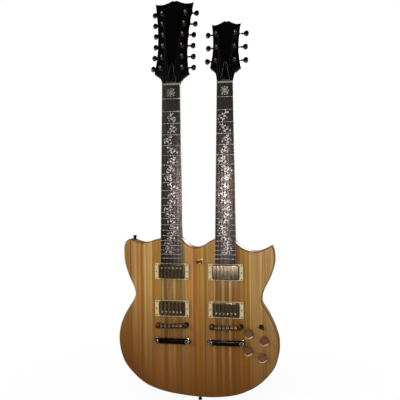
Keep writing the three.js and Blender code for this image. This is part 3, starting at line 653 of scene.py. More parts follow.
@lru_cache(maxsize=None)
def marks_group() -> bpy.types.NodeTree:
    """Handling marks: patches of a second tone, smudges in the gloss and fine scratches."""
    inputs = {"Base": "Color", "Second": "Color", "Scale": "Float", "Roughness": "Float", "Spread": "Float"}
    tree, graph, given, result = open_group("handling_marks", inputs, LAYERS)
    scale = given["Scale"]
    smudge_fineness, smudge_level, scratch_fineness = 3.1, 0.45, 5.0
    patches = graph.noise(graph.place(), scale, detail=4.0, roughness=0.6)
    smudges = graph.noise(graph.place(), graph.times(scale, smudge_fineness), detail=3.0)
    scratched = graph.stretched_place((9, 9, 1), (0, 0.5, 0.3))
    worn = graph.times(graph.math("SUBTRACT", smudges, smudge_level), given["Spread"])
    graph.wire(
        result,
        Colour=graph.blend(graph.spread(patches, -0.6, 1.5), given["Base"], given["Second"]),
        Roughness=graph.math("ADD", given["Roughness"], worn, clamp=True),
        Height=graph.noise(scratched, graph.times(scale, scratch_fineness), detail=2.0, roughness=0.7),
    )
    return tree


def open_material(name: str) -> tuple[bpy.types.Material, Graph, bpy.types.Node]:
    """Starts a material, and gives it with its graph and its shader."""
    material = bpy.data.materials.new(name)
    material.use_nodes = True
    return material, Graph(material.node_tree), material.node_tree.nodes["Principled BSDF"]


@dataclass(frozen=True)
class Look:
    """What every kind of finish has: a name, and a material that is made once."""

    name: str

    @lru_cache(maxsize=None)
    def material(self) -> bpy.types.Material:
        """The finish as a material."""
        made, graph, shader = open_material(self.name)
        self.paint(graph, shader)
        return made

    def paint(self, graph: Graph, shader: bpy.types.Node) -> None:
        """Wires the material's shader, in each kind's own way."""
        raise NotImplementedError


@dataclass(frozen=True)
class Finish(Look):
    """A smooth finish: two close tones in patches, with handling marks in the gloss."""

    tone: str
    second: str
    roughness: float
    spread: float = 0.12
    metallic: float = 0.0
    coat: float = 0.0
    scale: float = 45.0
    bump: float = 0.04
    specular: float = 0.5
    mark_depth: float = 0.0002
    coat_roughness: float = 0.06

    def paint(self, graph: Graph, shader: bpy.types.Node) -> None:
        """Wires the handling marks into the shader."""
        marks = graph.group(
            marks_group(), Base=hex_colour(self.tone), Second=hex_colour(self.second),
            Scale=self.scale, Roughness=self.roughness, Spread=self.spread,
        )
        graph.wire(
            shader, Base_Color=marks["Colour"], Roughness=marks["Roughness"],
            Normal=graph.bump(marks["Height"], self.mark_depth, self.bump),
            Metallic=self.metallic, Coat_Weight=self.coat, Coat_Roughness=self.coat_roughness,
            Specular_IOR_Level=self.specular,
        )


@dataclass(frozen=True)
class BoardFinish(Look):
    """The fretboards' dark wood: open grain, oiled."""

    name: str = "dark_board_wood"
    base: str = "1b1413"
    dark: str = "0b0808"
    oil: float = 0.72

    def paint(self, graph: Graph, shader: bpy.types.Node) -> None:
        """Wires the grain into the shader."""
        grain = graph.group(
            grain_group(), Base=hex_colour(self.base), Dark=hex_colour(self.dark),
            Across=700.0, Along=12.0, Amount=0.7,
        )
        graph.wire(
            shader, Base_Color=grain["Colour"], Roughness=graph.times(grain["Roughness"], self.oil),
            Normal=graph.bump(grain["Height"], 0.0001, 0.08),
        )


class WoodTone(Enum):
    """The woods of the body's strips: each a tone, and that of its grain."""

    HONEY = ("a07129", "734c10")
    TAN = ("a2824c", "7e5e2a")
    PALE = ("a4864e", "846431")
    AMBER = ("a7792d", "7c5312")
    ROSE = ("a17139", "774f1c")
    BROWN = ("895e1c", "63400c")
    OLIVE = ("93722a", "6e4f16")


@dataclass(frozen=True)
class StripWoodFinish(Look):
    """The body's wood: strips glued side by side under clear gloss lacquer, darker to the tail."""

    name: str = "honey_strip_wood"
    half_span: float = 222.0
    # Painted shade along the rounded front edge: its dark tone, and how dark it grows as the surface turns
    # from the front.
    painted_edge_shade_tone: str = "43331f"
    painted_edge_shade_stops: tuple[Pair, ...] = ((0.08, 0.0), (0.25, 0.85), (0.5, 0.85), (0.82, 0.0))
    tail_tone: str = "583002"
    tail_top: float = 0.1
    tail_length: float = 0.3
    tail_depth: float = 0.98
    left_start: float = -0.11
    left_width: float = 0.1
    left_depth: float = 0.5
    sway: float = 0.004
    feather: float = 0.012
    feather_scale: Triple = (260.0, 0.0, 2.5)
    shade_levels: Pair = (-0.4, 0.85)
    streak_levels: Pair = (0.6, 1.32)
    streak_scale: Triple = (140.0, 0.0, 1.2)
    coat: float = 0.25
    strips: tuple[tuple[float, WoodTone], ...] = (
        (-193, WoodTone.OLIVE), (-184, WoodTone.BROWN), (-171, WoodTone.TAN), (-159, WoodTone.ROSE),
        (-152, WoodTone.BROWN), (-148, WoodTone.AMBER), (-127, WoodTone.PALE), (-122, WoodTone.BROWN),
        (-107, WoodTone.AMBER), (-97, WoodTone.TAN), (-86, WoodTone.BROWN), (-68, WoodTone.TAN),
        (-64, WoodTone.PALE), (-47, WoodTone.OLIVE), (-31, WoodTone.TAN), (-26, WoodTone.AMBER),
        (-15, WoodTone.ROSE), (-8, WoodTone.BROWN), (7, WoodTone.HONEY), (19, WoodTone.OLIVE),
        (24, WoodTone.PALE), (33, WoodTone.HONEY), (41, WoodTone.TAN), (44, WoodTone.PALE),
        (58, WoodTone.BROWN), (66, WoodTone.TAN), (77, WoodTone.BROWN), (84, WoodTone.PALE),
        (99, WoodTone.BROWN), (112, WoodTone.HONEY), (133, WoodTone.OLIVE), (222, WoodTone.TAN),
    )

    def paint(self, graph: Graph, shader: bpy.types.Node) -> None:
        """Wires strips, grain, streaks, the darker tail, and a painted line of shade on the rounded front
        edges.
        """
        x = graph.coordinate(graph.place(), "X")
        base, dark = self.strip_tones(graph, x)
        grain = graph.group(grain_group(), Base=base, Dark=dark, Across=300.0, Along=3.0, Amount=0.8)
        streaks = graph.noise(graph.stretched_place(self.streak_scale), 1.0, detail=3.0, roughness=0.75)
        level = graph.spread(streaks, *self.streak_levels, start=0.3, end=0.7)
        streaked = graph.blend(1.0, grain["Colour"], level, "MULTIPLY")
        # Darker towards the tail, and most at its lower left.
        tail_darkened = graph.blend(self.tail_share(graph, x), streaked, hex_colour(self.tail_tone))
        # Painted shade: where the rounded front edge turns away from the front, the colour darkens to a dark
        # tone, as a line of shade.
        stops = [(place, (share, share, share, 1)) for place, share in self.painted_edge_shade_stops]
        edge = graph.ramp(graph.times(graph.facing("Y"), -1.0), stops)
        graph.wire(
            shader, Base_Color=graph.blend(edge, tail_darkened, hex_colour(self.painted_edge_shade_tone)),
            Roughness=grain["Roughness"], Normal=graph.bump(grain["Height"], 0.0001, 0.1),
            Coat_Weight=graph.times(graph.math("SUBTRACT", 1.0, edge), self.coat),
            Coat_Roughness=0.07, Specular_IOR_Level=0.2,
        )

    def strip_tones(self, graph: Graph, x: Socket) -> list[Socket]:
        """The strips' tones across the body and those of their grain.

        Args:
            graph: the material's graph.
            x: the socket that holds the place across the body, in metres.

        Returns:
            The two sockets. The first is shaded in narrow bands.
        """
        sway = graph.around_zero(graph.noise(graph.place(), 5.0, detail=1.0), self.sway)
        ragged = graph.noise(graph.stretched_place(self.feather_scale), 1.0, detail=2.0)
        feathered = graph.math("ADD", graph.math("ADD", x, sway), graph.around_zero(ragged, self.feather))
        span = self.half_span * MM
        share = graph.math("DIVIDE", graph.math("ADD", feathered, span), 2 * span)
        edges = [-self.half_span, *(edge for edge, _ in self.strips[:-1])]
        starts = [(edge + self.half_span) / (2 * self.half_span) for edge in edges]
        tone, dark = (
            graph.ramp(
                share,
                [(start, hex_colour(wood.value[layer])) for start, (_, wood) in zip(starts, self.strips)],
                "CONSTANT",
            )
            for layer in (0, 1)
        )
        cells = graph.node("TexVoronoi", {"voronoi_dimensions": "1D"}, W=feathered, Scale=150.0)
        shade = graph.node("SeparateColor", None, Color=cells.outputs["Color"]).outputs[0]
        return [graph.blend(graph.spread(shade, *self.shade_levels), tone, dark), dark]

    def tail_share(self, graph: Graph, x: Socket) -> Socket:
        """How much the wood darkens: more to the tail, and most at its left."""
        z = graph.coordinate(graph.place(), "Z")
        below = graph.math("SUBTRACT", self.tail_top, z)
        low = graph.math("DIVIDE", below, self.tail_length, clamp=True)
        outside = graph.math("SUBTRACT", self.left_start, x)
        left = graph.math("DIVIDE", outside, self.left_width, clamp=True)
        depth = graph.math("ADD", self.tail_depth, graph.times(left, self.left_depth))
        return graph.times(graph.math("POWER", low, 0.9), depth, clamp=True)


@dataclass(frozen=True)
class PearlFinish(Look):
    """Mother-of-pearl: white to grey, with a faint play of colour, and brighter down the neck."""

    name: str = "pearl_shell"
    tones: tuple[tuple[float, str], ...] = (
        (0.3, "76787c"), (0.42, "c4c2c1"), (0.52, "e4e0dc"), (0.62, "a2a6aa"), (0.75, "dad3d1"),
    )
    levels: Pair = (1.25, 0.8)
    change: Pair = (0.38, 0.6)

    def paint(self, graph: Graph, shader: bpy.types.Node) -> None:
        """Wires the layers of shell into the shader."""
        layers = graph.noise(graph.place(), 160.0, detail=3.0, roughness=0.6)
        colour = graph.ramp(layers, [(place, hex_colour(code)) for place, code in self.tones])
        level = graph.spread(graph.coordinate(graph.place(), "Z"), *self.levels, *self.change)
        graph.wire(
            shader, Base_Color=graph.blend(1.0, colour, level, "MULTIPLY"),
            Roughness=graph.spread(layers, 0.15, 0.35), Normal=graph.bump(layers, 0.0003, 0.2),
            Coat_Weight=0.6,
        )


@dataclass(frozen=True)
class SkirtFinish(Look):
    """The knobs' clear skirt: brown, with a painted highlight along its lower edge that glows by emission,
    standing in for the light that gathers there.
    """

    name: str = "amber_knob_skirt"
    tone: str = "5f3a22"
    painted_glow: str = "ffd9a0"
    painted_glow_strength: float = 0.5
    painted_glow_facing: Pair = (-0.3, -0.55)

    def paint(self, graph: Graph, shader: bpy.types.Node) -> None:
        """Wires the tone and the painted glow into the shader."""
        start, end = self.painted_glow_facing
        # Painted highlight: faces that turn downwards take a light colour and glow by emission.
        share = graph.spread(graph.facing("Z"), start=start, end=end)
        cloud = graph.spread(graph.noise(graph.place(), 300.0, detail=2.0), 0.6, 1.2)
        lit = graph.times(share, cloud, clamp=True)
        painted_glow = hex_colour(self.painted_glow)
        graph.wire(
            shader, Base_Color=graph.blend(lit, hex_colour(self.tone), painted_glow),
            Emission_Color=graph.blend(lit, (0, 0, 0, 1), painted_glow), Emission_Strength=self.painted_glow_strength,
            Roughness=0.16, Coat_Weight=0.6,
        )


@dataclass(frozen=True)
class StringFinish(Look):
    """String wire: warm and bright by the wood, dull over the boards; this change along the neck is painted
    light, a painted warm reflection over the wood and painted shade over the boards.
    """

    name: str = "string_wire"
    bright: str = "a88f6a"
    dull: str = "2b2a29"
    change: Pair = (0.1, 0.16)

    def paint(self, graph: Graph, shader: bpy.types.Node) -> None:
        """Wires the painted change of tone along the neck into the shader."""
        start, end = self.change
        # Painted light: a warm painted reflection where the strings cross the body, painted shade over the
        # boards.
        share = graph.spread(graph.coordinate(graph.place(), "Z"), start=start, end=end)
        clouds = graph.noise(graph.place(), 200.0, detail=2.0)
        graph.wire(
            shader, Base_Color=graph.blend(share, hex_colour(self.bright), hex_colour(self.dull)),
            Roughness=graph.spread(clouds, 0.3, 0.45), Metallic=1.0,
        )


def metal(name: str, tone: str, second: str, roughness: float, spread: float, **others: float) -> Finish:
    """A finish of bare or plated metal; the values are those of Finish."""
    return Finish(name, tone, second, roughness, spread, **{"metallic": 1.0, **others})


STRIP_WOOD = StripWoodFinish()
DARK_BOARD = BoardFinish()
PEARL = PearlFinish()
AMBER_SKIRT = SkirtFinish()
STEEL = StringFinish()
GOLD = metal("polished_gold_plate", "e0b870", "ac8a4c", 0.22, 0.16)
COVER_METAL = metal("dark_gold_mirror", "8a7e62", "71664c", 0.1, 0.08, scale=30)
DARK_NICKEL = metal("dark_nickel_plate", "6e675c", "4a443b", 0.2, 0.15)
BUTTON_METAL = metal("black_nickel_button", "4f4a43", "35312c", 0.22, 0.12)
BRIGHT_NICKEL = metal("bright_nickel_screw", "e0d8c4", "c0b6a0", 0.36, 0.1)
BRIDGE_METAL = metal("brown_nickel_bridge", "6a4426", "432a17", 0.28, 0.15)
SADDLE_METAL = metal("bright_saddle", "f4e6d6", "d0c0ac", 0.36, 0.2)
POST_METAL = metal("pale_gold_post", "fff2e0", "dccfb6", 0.26, 0.12)
STRAP_METAL = metal("black_strap_button", "26231f", "1a1816", 0.3, 0.12)
BRONZE = metal("dark_bronze_bushing", "6c5540", "4a3a28", 0.3, 0.15)
TAIL_METAL = metal("black_chrome_bar", "2a2824", "1c1b19", 0.12, 0.06)
HEAD_WIRE = metal("string_wire_in_shade", "2a2a2c", "202022", 0.4, 0.1, metallic=0.8, scale=200)
FRET_METAL = metal("fret_wire", "ece6de", "ccc5bd", 0.4, 0.2, scale=120)
BLACK_LACQUER = Finish(
    "black_gloss_lacquer", "020202", "040404", 0.16, 0.06, coat=0.05, scale=12, specular=0.2,
)
CREAM = Finish("cream_ring_plastic", "b8a97f", "a7976b", 0.34, 0.1, coat=0.2)
BINDING = Finish("tan_binding", "6f5f45", "554833", 0.4, 0.1)
BONE = Finish("bone_nut", "7f7c62", "6b6850", 0.4, 0.15)
AMBER = Finish("amber_knob_side", "5c3a22", "47301b", 0.3, 0.1, coat=0.2)
AMBER_TOP = Finish("amber_knob_top", "5a3822", "4a2d1a", 0.45, 0.15, coat=0.1)
BLACK_PLASTIC = Finish("black_satin_plastic", "161514", "0e0d0d", 0.42, 0.1)
GREY_PLY = Finish("grey_plastic_ply", "8c8c88", "7a7a76", 0.4, 0.1)
FELT = Finish("dark_felt", "1b1a1a", "262424", 0.9, 0.05, scale=400, bump=0.6)


# The body
@dataclass
class BodyShell:
    """The body of glued strips, with what is screwed to its rim."""

    rounding: float = 6.0
    right_shoulder_drop: float = 11.0
    inner_shoulder_drop: float = 2.0
    tongue_inset: float = 6.0
    horn_button_shares: Pair = (-0.417, 0.984)
    tail_button_shares: Pair = (-0.008, 0)
    bass_shares: tuple[Pair, ...] = (
        (-0.288, 0.986), (-0.347, 0.97), (-0.398, 0.981), (-0.433, 0.993), (-0.459, 0.982), (-0.473, 0.953),
        (-0.476, 0.91), (-0.47, 0.838), (-0.445, 0.758), (-0.415, 0.689), (-0.405, 0.645), (-0.417, 0.605),
        (-0.466, 0.525), (-0.501, 0.446), (-0.515, 0.352), (-0.5, 0.254), (-0.464, 0.178), (-0.382, 0.093),
        (-0.293, 0.044), (-0.159, 0.013), (0.035, 0),
    )
    treble_shares: tuple[Pair, ...] = (
        (0.201, 0.018), (0.309, 0.061), (0.386, 0.117), (0.451, 0.197), (0.478, 0.273), (0.484, 0.333),
        (0.48, 0.386), (0.457, 0.46), (0.422, 0.535), (0.385, 0.597), (0.381, 0.631), (0.393, 0.679),
        (0.433, 0.761), (0.457, 0.838), (0.46, 0.886), (0.457, 0.924),
    )
    horn_tip_shares: Pair = (0.445, 0.958)
    treble_cutaway_shares: tuple[Pair, ...] = (
        (0.417, 0.942), (0.375, 0.924), (0.347, 0.921), (0.309, 0.925), (0.272, 0.939), (0.246, 0.957),
    )
    middle_cutaway_shares: tuple[Pair, ...] = (
        (0.068, 0.983), (0.03, 0.957), (-0.012, 0.942), (-0.047, 0.948), (-0.082, 0.97),
    )
    steps: int = 8

    def outline(self) -> Outline:
        """The body's outline, from the left neck's outer shoulder round the tail and back."""
        bass, treble = NECKS[0], NECKS[1]
        left, right = bass.width_at(HEEL_LINE) / 2, treble.width_at(HEEL_LINE) / 2
        rim = [(bass.centre - left, HEEL_LINE), *map(body_point, self.bass_shares + self.treble_shares)]
        shoulder = (treble.centre + right, HEEL_LINE - self.right_shoulder_drop)
        cutaway = [*map(body_point, self.treble_cutaway_shares), shoulder]
        middle = [
            (treble.centre - right, HEEL_LINE), *map(body_point, self.middle_cutaway_shares),
            (bass.centre + left, HEEL_LINE - self.inner_shoulder_drop),
        ]
        tip = [body_point(self.horn_tip_shares)]
        return [
            *spline(rim, self.steps), *tip, *spline(cutaway, self.steps),
            (treble.centre + right - self.tongue_inset, HEEL_LINE),
            *spline(middle, self.steps), (bass.centre + left - self.tongue_inset, HEEL_LINE),
        ]

    def build(self) -> None:
        """Makes the body with the recesses of its rear covers and jack, and the strap buttons."""
        draft = Draft()
        draft.slab(self.outline(), FACE, 0, self.rounding, steps=6)
        body = draft.piece("body_wood", Slot.WOOD, [STRIP_WOOD], replaces=["body"])
        cutters = Draft()
        for cover in REAR_COVERS:
            cover.recess(cutters)
        JACK.recess(cutters)
        carve(body, cutters)
        buttons = (("horn", self.horn_button_shares, 1), ("tail", self.tail_button_shares, -1))
        for name, shares, way in buttons:
            x, z = body_point(shares)
            self.strap_button(f"{name}_strap_button", (x, FACE / 2, z), way)

    def strap_button(self, name: str, foot: Triple, way: int) -> None:
        """Makes one strap button on a felt washer.

        Args:
            name: its name.
            foot: where it stands on the rim.
            way: 1 if it points up, -1 if down.
        """
        height, radius, waist, flange = 12.5, 5.2, 3.6, 2.2
        draft = Draft(Matrix.Translation(foot) @ Matrix.Rotation(way * math.pi / 2, 4, "X"))
        draft.lathe([
            (0, height), (2.2, height), (2.6, height - 0.5), (radius - 0.6, height), (radius, height - 0.6),
            (radius, height - flange), (waist + 0.5, height - flange - 1.4), (waist, height / 2),
            (waist + 0.6, flange + 0.8), (radius, flange), (radius, 0.9), (0, 0.9),
        ])
        draft.at(coat=1).pin(radius + 1.2, 0.9, -0.8)
        draft.piece(name, Slot.NICKEL, [STRAP_METAL, FELT])


def carve(piece: bpy.types.Object, cutters: Draft) -> None:
    """Cuts solids out of a piece.

    Args:
        piece: the piece.
        cutters: the solids, in one draft.
    """
    tool = cutters.written("cutters")
    step = piece.modifiers.new("recesses", "BOOLEAN")
    step.operation = "DIFFERENCE"
    step.solver = "EXACT"
    step.object = tool
    bpy.context.view_layer.update()
    evaluated = piece.evaluated_get(bpy.context.evaluated_depsgraph_get())
    piece.data = bpy.data.meshes.new_from_object(evaluated)
    piece.modifiers.clear()
    piece.data.set_sharp_from_angle(angle=math.radians(CREASE_ANGLE))
    data = tool.data
    bpy.data.objects.remove(tool)
    bpy.data.meshes.remove(data)


@dataclass
class RearCover:
    """A plastic plate that closes a cavity in the back, flush in its recess."""

    name: str
    node: str
    centre: Pair
    outline: Outline
    screws: tuple[Pair, ...]
    thickness: float = 2.0

    def recess(self, cutters: Draft) -> None:
        """Adds the recess that the cover lies in to the body's cutters."""
        grown = inset(self.outline, -SEAT)
        cutters.at((self.centre[0], 0, self.centre[1])).slab(grown, -self.thickness - SEAT, 3.0)

    def build(self) -> None:
        """Makes the cover and its screws."""
        draft = Draft(Matrix.Translation((self.centre[0], 0, self.centre[1])))
        draft.slab(self.outline, -self.thickness, 0, 0.0, 0.4, 2)
        for i, (x, z) in enumerate(self.screws):
            draft.at((x, 0, z), BACKWARDS, coat=1).screw(2.6, 0.5, slot_turn=0.7 * i)
        draft.piece(self.name, Slot.BLACK, [BLACK_PLASTIC, DARK_NICKEL], replaces=[self.node])


@dataclass
class Jack:
    """The output jack in the right rim: a round plate, a nut and the socket."""

    shares: Pair = (0.484, 0.338)
    plate_radius: float = 10.5
    plate_thickness: float = 1.6
    socket_radius: float = 3.25
    barrel_radius: float = 5.6
    nut_radius: float = 5.4
    depth: float = 24.0

    def frame(self) -> Matrix:
        """The jack's own frame, with its front facing out of the rim."""
        rim, place = body_point(self.shares)
        return Matrix.Translation((rim, FACE / 2, place)) @ Matrix.Rotation(math.pi / 2, 4, "Z")

    def recess(self, cutters: Draft) -> None:
        """Adds the plate's recess and the barrel's bore to the body's cutters."""
        own = cutters.framed(self.frame())
        own.slab(circle(self.plate_radius + SEAT), -3.0, self.plate_thickness + SEAT)
        own.slab(circle(self.barrel_radius + SEAT), 0.5, self.depth + 1)

    def build(self) -> None:
        """Makes the jack."""
        draft = Draft(self.frame())
        hole = circle(self.socket_radius)
        draft.frame(circle(self.plate_radius), hole, 0, self.plate_thickness, 0.5)
        draft.frame(circle(self.nut_radius), circle(self.socket_radius + 0.2), -0.4, 0.4, 0.3)
        draft.at(coat=1).frame(circle(self.barrel_radius), hole, self.plate_thickness, self.depth, 0.3)
        draft.piece("output_jack_plate", Slot.GOLD, [GOLD, DARK_NICKEL], replaces=["output_jack"])


# Necks
@dataclass
class Neck:
    """A neck with its board, frets, inlay, nut, strings, head and machine heads."""

    key: str
    side: Side
    strings: int
    nut_width: float
    end_width: float
    head_width: float
    head_length: float
    flank_shares: tuple[Pair, ...]
    crest_shares: tuple[Pair, ...]
    first_post: float
    post_pitch: float
    post_shares: tuple[float, ...]
    shaft_at_nut: float = 14.5
    shaft_at_heel: float = 18.0
    heel_depth: float = 33.0
    heel_run: float = 46.0
    heel_foot_share: float = 0.17
    throat_length: float = 12.0
    throat_drop: float = 2.4
    back_roundness: float = 0.8
    crown_radius: float = 305.0
    binding: float = 1.1
    fret_height: float = 1.0
    fret_width: float = 2.0
    nut_rise: float = 2.2
    nut_margin: float = 4.0
    thickest_string: float = 1.3
    thinnest_string: float = 0.5
    string_pair_pitch: float = 2.2

    @property
    def centre(self) -> float:
        """The neck's middle line in X."""
        return self.side.value * NECK_SPACING / 2

    @property
    def frame(self) -> Matrix:
        """The neck's own frame: Y is 0 on the board's top, Z is 0 at the scale line."""
        start = Matrix.Translation((self.centre, FACE - BOARD_RISE, 0))
        return start @ Matrix.Rotation(-NECK_ANGLE, 4, "X")

    @property
    def head_frame(self) -> Matrix:
        """The head's own frame: Y is 0 on its face, Z is 0 at its foot."""
        return self.frame @ HEAD_PLACE

    def width_at(self, z: float) -> float:
        """The board's width at a place along the neck."""
        return mix(self.nut_width, self.end_width, (SCALE_LENGTH - z) / (SCALE_LENGTH - BOARD_END))

    def crown(self, x: float) -> float:
        """How far the board's top falls away from its middle line."""
        return self.crown_radius - math.sqrt(self.crown_radius ** 2 - x ** 2)

    def fret_place(self, number: int) -> float:
        """Where a fret lies along the neck; fret 0 is the nut."""
        return SCALE_LENGTH / 2 ** (number / FRETS_PER_OCTAVE)

    def post_places(self) -> list[tuple[Side, float, float]]:
        """Side, X and Z of each post on the head: from the nut up, the left row and then the right."""
        return [
            (side, side.value * share * self.head_width, self.first_post + row * self.post_pitch)
            for side in Side for row, share in enumerate(self.post_shares)
        ]

    def build(self) -> None:
        """Makes everything on this neck."""
        self.shaft_and_head()
        self.truss_cover()
        self.board()
        Vine(self).build()
        self.nut_and_strings()
        for number, (side, x, z) in enumerate(self.post_places(), 1):
            place = self.head_frame @ Matrix.Translation((x, 0, z))
            MachineHead(f"{self.key}_{number}", side, place).build()

    def depth_at(self, z: float) -> float:
        """How thick the wood is behind the board at a place along the neck."""
        share = (SCALE_LENGTH - z) / (SCALE_LENGTH - HEEL_LINE)
        straight = mix(self.shaft_at_nut, self.shaft_at_heel, share)
        foot = HEEL_LINE + self.heel_run * self.heel_foot_share
        heel = 1 - ease((z - foot) / (HEEL_LINE + self.heel_run - foot))
        return mix(straight, self.heel_depth, heel)

    def shaft_and_head(self) -> None:
        """Makes the neck's wood from the body to the tip of the head."""
        draft = Draft(self.frame)
        top = BOARD_THICKNESS + SEAT
        heel_end = HEEL_LINE + self.heel_run
        rings = []
        for z in (BOARD_END, HEEL_LINE - 1):
            to_body = (BOARD_RISE - SEAT) / math.cos(NECK_ANGLE) - z * math.tan(NECK_ANGLE)
            rings.append(self.section(self.width_at(z) / 2, top, to_body - top, z))
        for z in (*np.linspace(HEEL_LINE + SEAT, heel_end, 18), *np.linspace(heel_end + 20, SCALE_LENGTH, 8)):
            rings.append(self.section(self.width_at(z) / 2, top, self.depth_at(z), z))
        for share in np.linspace(0, 1, 7):
            depth = mix(self.shaft_at_nut, HEAD_THICKNESS + HEAD_DROP - top, ease(share))
            front = top + self.throat_drop * share ** 1.5
            place = HEAD_START + self.throat_length * share
            rings.append(self.section(self.nut_width / 2, front, depth, place))
        draft.skin(rings)
        draft.framed(self.head_frame).slab(self.head_outline(), 0, HEAD_THICKNESS, 0.9, steps=3)
        node = f"neck_{self.key}"
        draft.piece(f"neck_wood_{self.key}", Slot.LACQUER, [BLACK_LACQUER], replaces=[node], crease=32)

    def section(self, half: float, top: float, depth: float, z: float) -> list[Triple]:
        """One cross-section of the neck's wood, from half its width, its flat top and its depth."""
        bulge = [(math.cos(angle), abs(math.sin(angle))) for angle in np.linspace(0, math.pi, 21)]
        return [(half * x, top + depth * y ** self.back_roundness, z) for x, y in bulge]

    def head_outline(self) -> Outline:
        """The head's outline, from the nut's right end round the tip to its left end."""
        flank, crest = (
            [(x * self.head_width, z * self.head_length) for x, z in shares]
            for shares in (self.flank_shares, self.crest_shares)
        )
        half = [
            *spline([(self.nut_width / 2, 0), *flank[:2]], 8), *spline(flank[1:], 8)[1:],
            *spline([flank[-1], *crest], 8)[1:],
        ]
        return half + [(-x, z) for x, z in half[-2::-1]]

    def truss_cover(self) -> None:
        """Makes the bell-shaped cover over the truss rod, black on a pale ply, with two screws."""
        half, start, length = 12.5, 2.0, 51.0
        ply_front, front, screw_margin = -1.2, -2.0, 5
        rows = ((0, 1.0), (0.2, 0.9), (0.42, 0.62), (0.62, 0.46), (0.82, 0.38), (0.94, 0.31), (1, 0.16))
        right = spline([(half * share, start + length * place) for place, share in rows], 5)
        outline = right + [(-x, z) for x, z in right[::-1]]
        draft = Draft(self.head_frame)
        draft.at(coat=1).slab(outline, ply_front, -0.02, 0.2)
        draft.slab(inset(outline, 0.5), front, ply_front, 0.3)
        for z in (start + screw_margin, start + length - screw_margin):
            draft.at((0, front, z), coat=2).screw(1.9, 0.7, slot_turn=z)
        finishes = [BLACK_LACQUER, GREY_PLY, DARK_NICKEL]
        draft.piece(f"truss_rod_cover_{self.key}", Slot.BLACK, finishes)

    def board(self) -> None:
        """Makes the fretboard with its binding and frets."""
        draft = Draft(self.frame)
        for strip, coat in ((1, 0), (0, 1), (2, 1)):
            rings = []
            for z in np.linspace(BOARD_END, SCALE_LENGTH, 12):
                half = self.width_at(z) / 2
                edges = (-half, self.binding - half, half - self.binding, half)
                low, high = edges[strip], edges[strip + 1]
                top = [(x, self.crown(x), z) for x in np.linspace(low, high, 13)]
                rings.append([*top, (high, BOARD_THICKNESS, z), (low, BOARD_THICKNESS, z)])
            draft.at(coat=coat).skin(rings)
        for number in range(1, FRETS + 1):
            self.fret(draft.at(coat=2), number)
        finishes, node = [DARK_BOARD, BINDING, FRET_METAL], f"fretboard_{self.key}"
        draft.piece(f"fretboard_wood_{self.key}", Slot.BOARD, finishes, replaces=[node])

    def fret(self, draft: Draft, number: int) -> None:
        """Adds one fret, counted from the nut: a half-round wire over the crown of the board."""
        place = self.fret_place(number)
        half = self.width_at(place) / 2 - SEAT / 2
        rings = []
        for share in (-1, -0.985, *np.linspace(-0.95, 0.95, 13), 0.985, 1):
            x = share * half
            height = self.fret_height * (0.35 if abs(share) == 1 else 1)
            arc = []
            for angle in np.linspace(0, math.pi, 7):
                y = self.crown(x) - height * math.sin(angle)
                arc.append((x, y, place + self.fret_width / 2 * math.cos(angle)))
            rings.append([*arc, (x, self.crown(x) + 1, place)])
        draft.skin(rings)

    def course_offsets(self, spread: float) -> list[float]:
        """The strings' places from left to right, where their outer courses are a spread apart."""
        each = self.strings // COURSES
        return [
            middle + (k - (each - 1) / 2) * self.string_pair_pitch
            for middle in across_courses(spread / (COURSES - 1)) for k in range(each)
        ]

    def nut_and_strings(self) -> None:
        """Makes the nut and the strings, from the tailpiece over saddle and nut to the posts."""
        draft = Draft(self.frame)
        middle = NUT_START + NUT_THICKNESS / 2
        nut = rounded_rectangle(self.nut_width, NUT_THICKNESS, 0.4, 2)
        draft.at((0, 0, middle), coat=1).slab(nut, -self.nut_rise, BOARD_THICKNESS, 0.8, 0.1, 3)
        at_nut = self.course_offsets(self.nut_width - 2 * self.nut_margin)
        at_bridge = self.course_offsets(BRIDGE_SPREAD)
        to_neck = self.frame.inverted()
        tail_depth = FACE - TAILPIECE_LIFT - TAILPIECE_DEPTH / 2
        tail = Vector((self.centre, tail_depth, TAILPIECE_PLACE + TAILPIECE_LENGTH / 2 + SEAT))
        left, right = (
            [place for place in self.post_places() if place[0] is side] for side in (Side.LEFT, Side.RIGHT)
        )
        post_waist, post_rise, nut_slot, turn_in = 2.4, 7.5, 2.0, 0.04
        for i, (side, x, z) in enumerate(left + right[::-1]):
            share = i / (self.strings - 1)
            radius = mix(self.thickest_string, self.thinnest_string, share) / 2
            start = to_neck @ (tail + Vector((at_bridge[i], 0, radius)))
            slanted = at_bridge[i] * math.tan(BRIDGE_SLANT)
            saddle = Vector((at_bridge[i], -STRING_RISE_AT_SADDLE, slanted))
            slot = Vector((at_nut[i], -nut_slot, middle))
            end = HEAD_PLACE @ Vector((x - side.value * (post_waist + radius), -post_rise, z))
            off_nut = slot.lerp(saddle, 0.003)
            route = [start, saddle.lerp(start, turn_in), saddle.lerp(slot, 0.002), saddle.lerp(slot, 0.5)]
            draft.tube([*route, off_nut], radius)
            draft.at(coat=2).tube([off_nut, slot.lerp(end, turn_in), end], radius)
        node = f"strings_and_nut_{self.key}"
        draft.piece(f"strings_{self.key}", Slot.STEEL, [STEEL, BONE, HEAD_WIRE], replaces=[node])


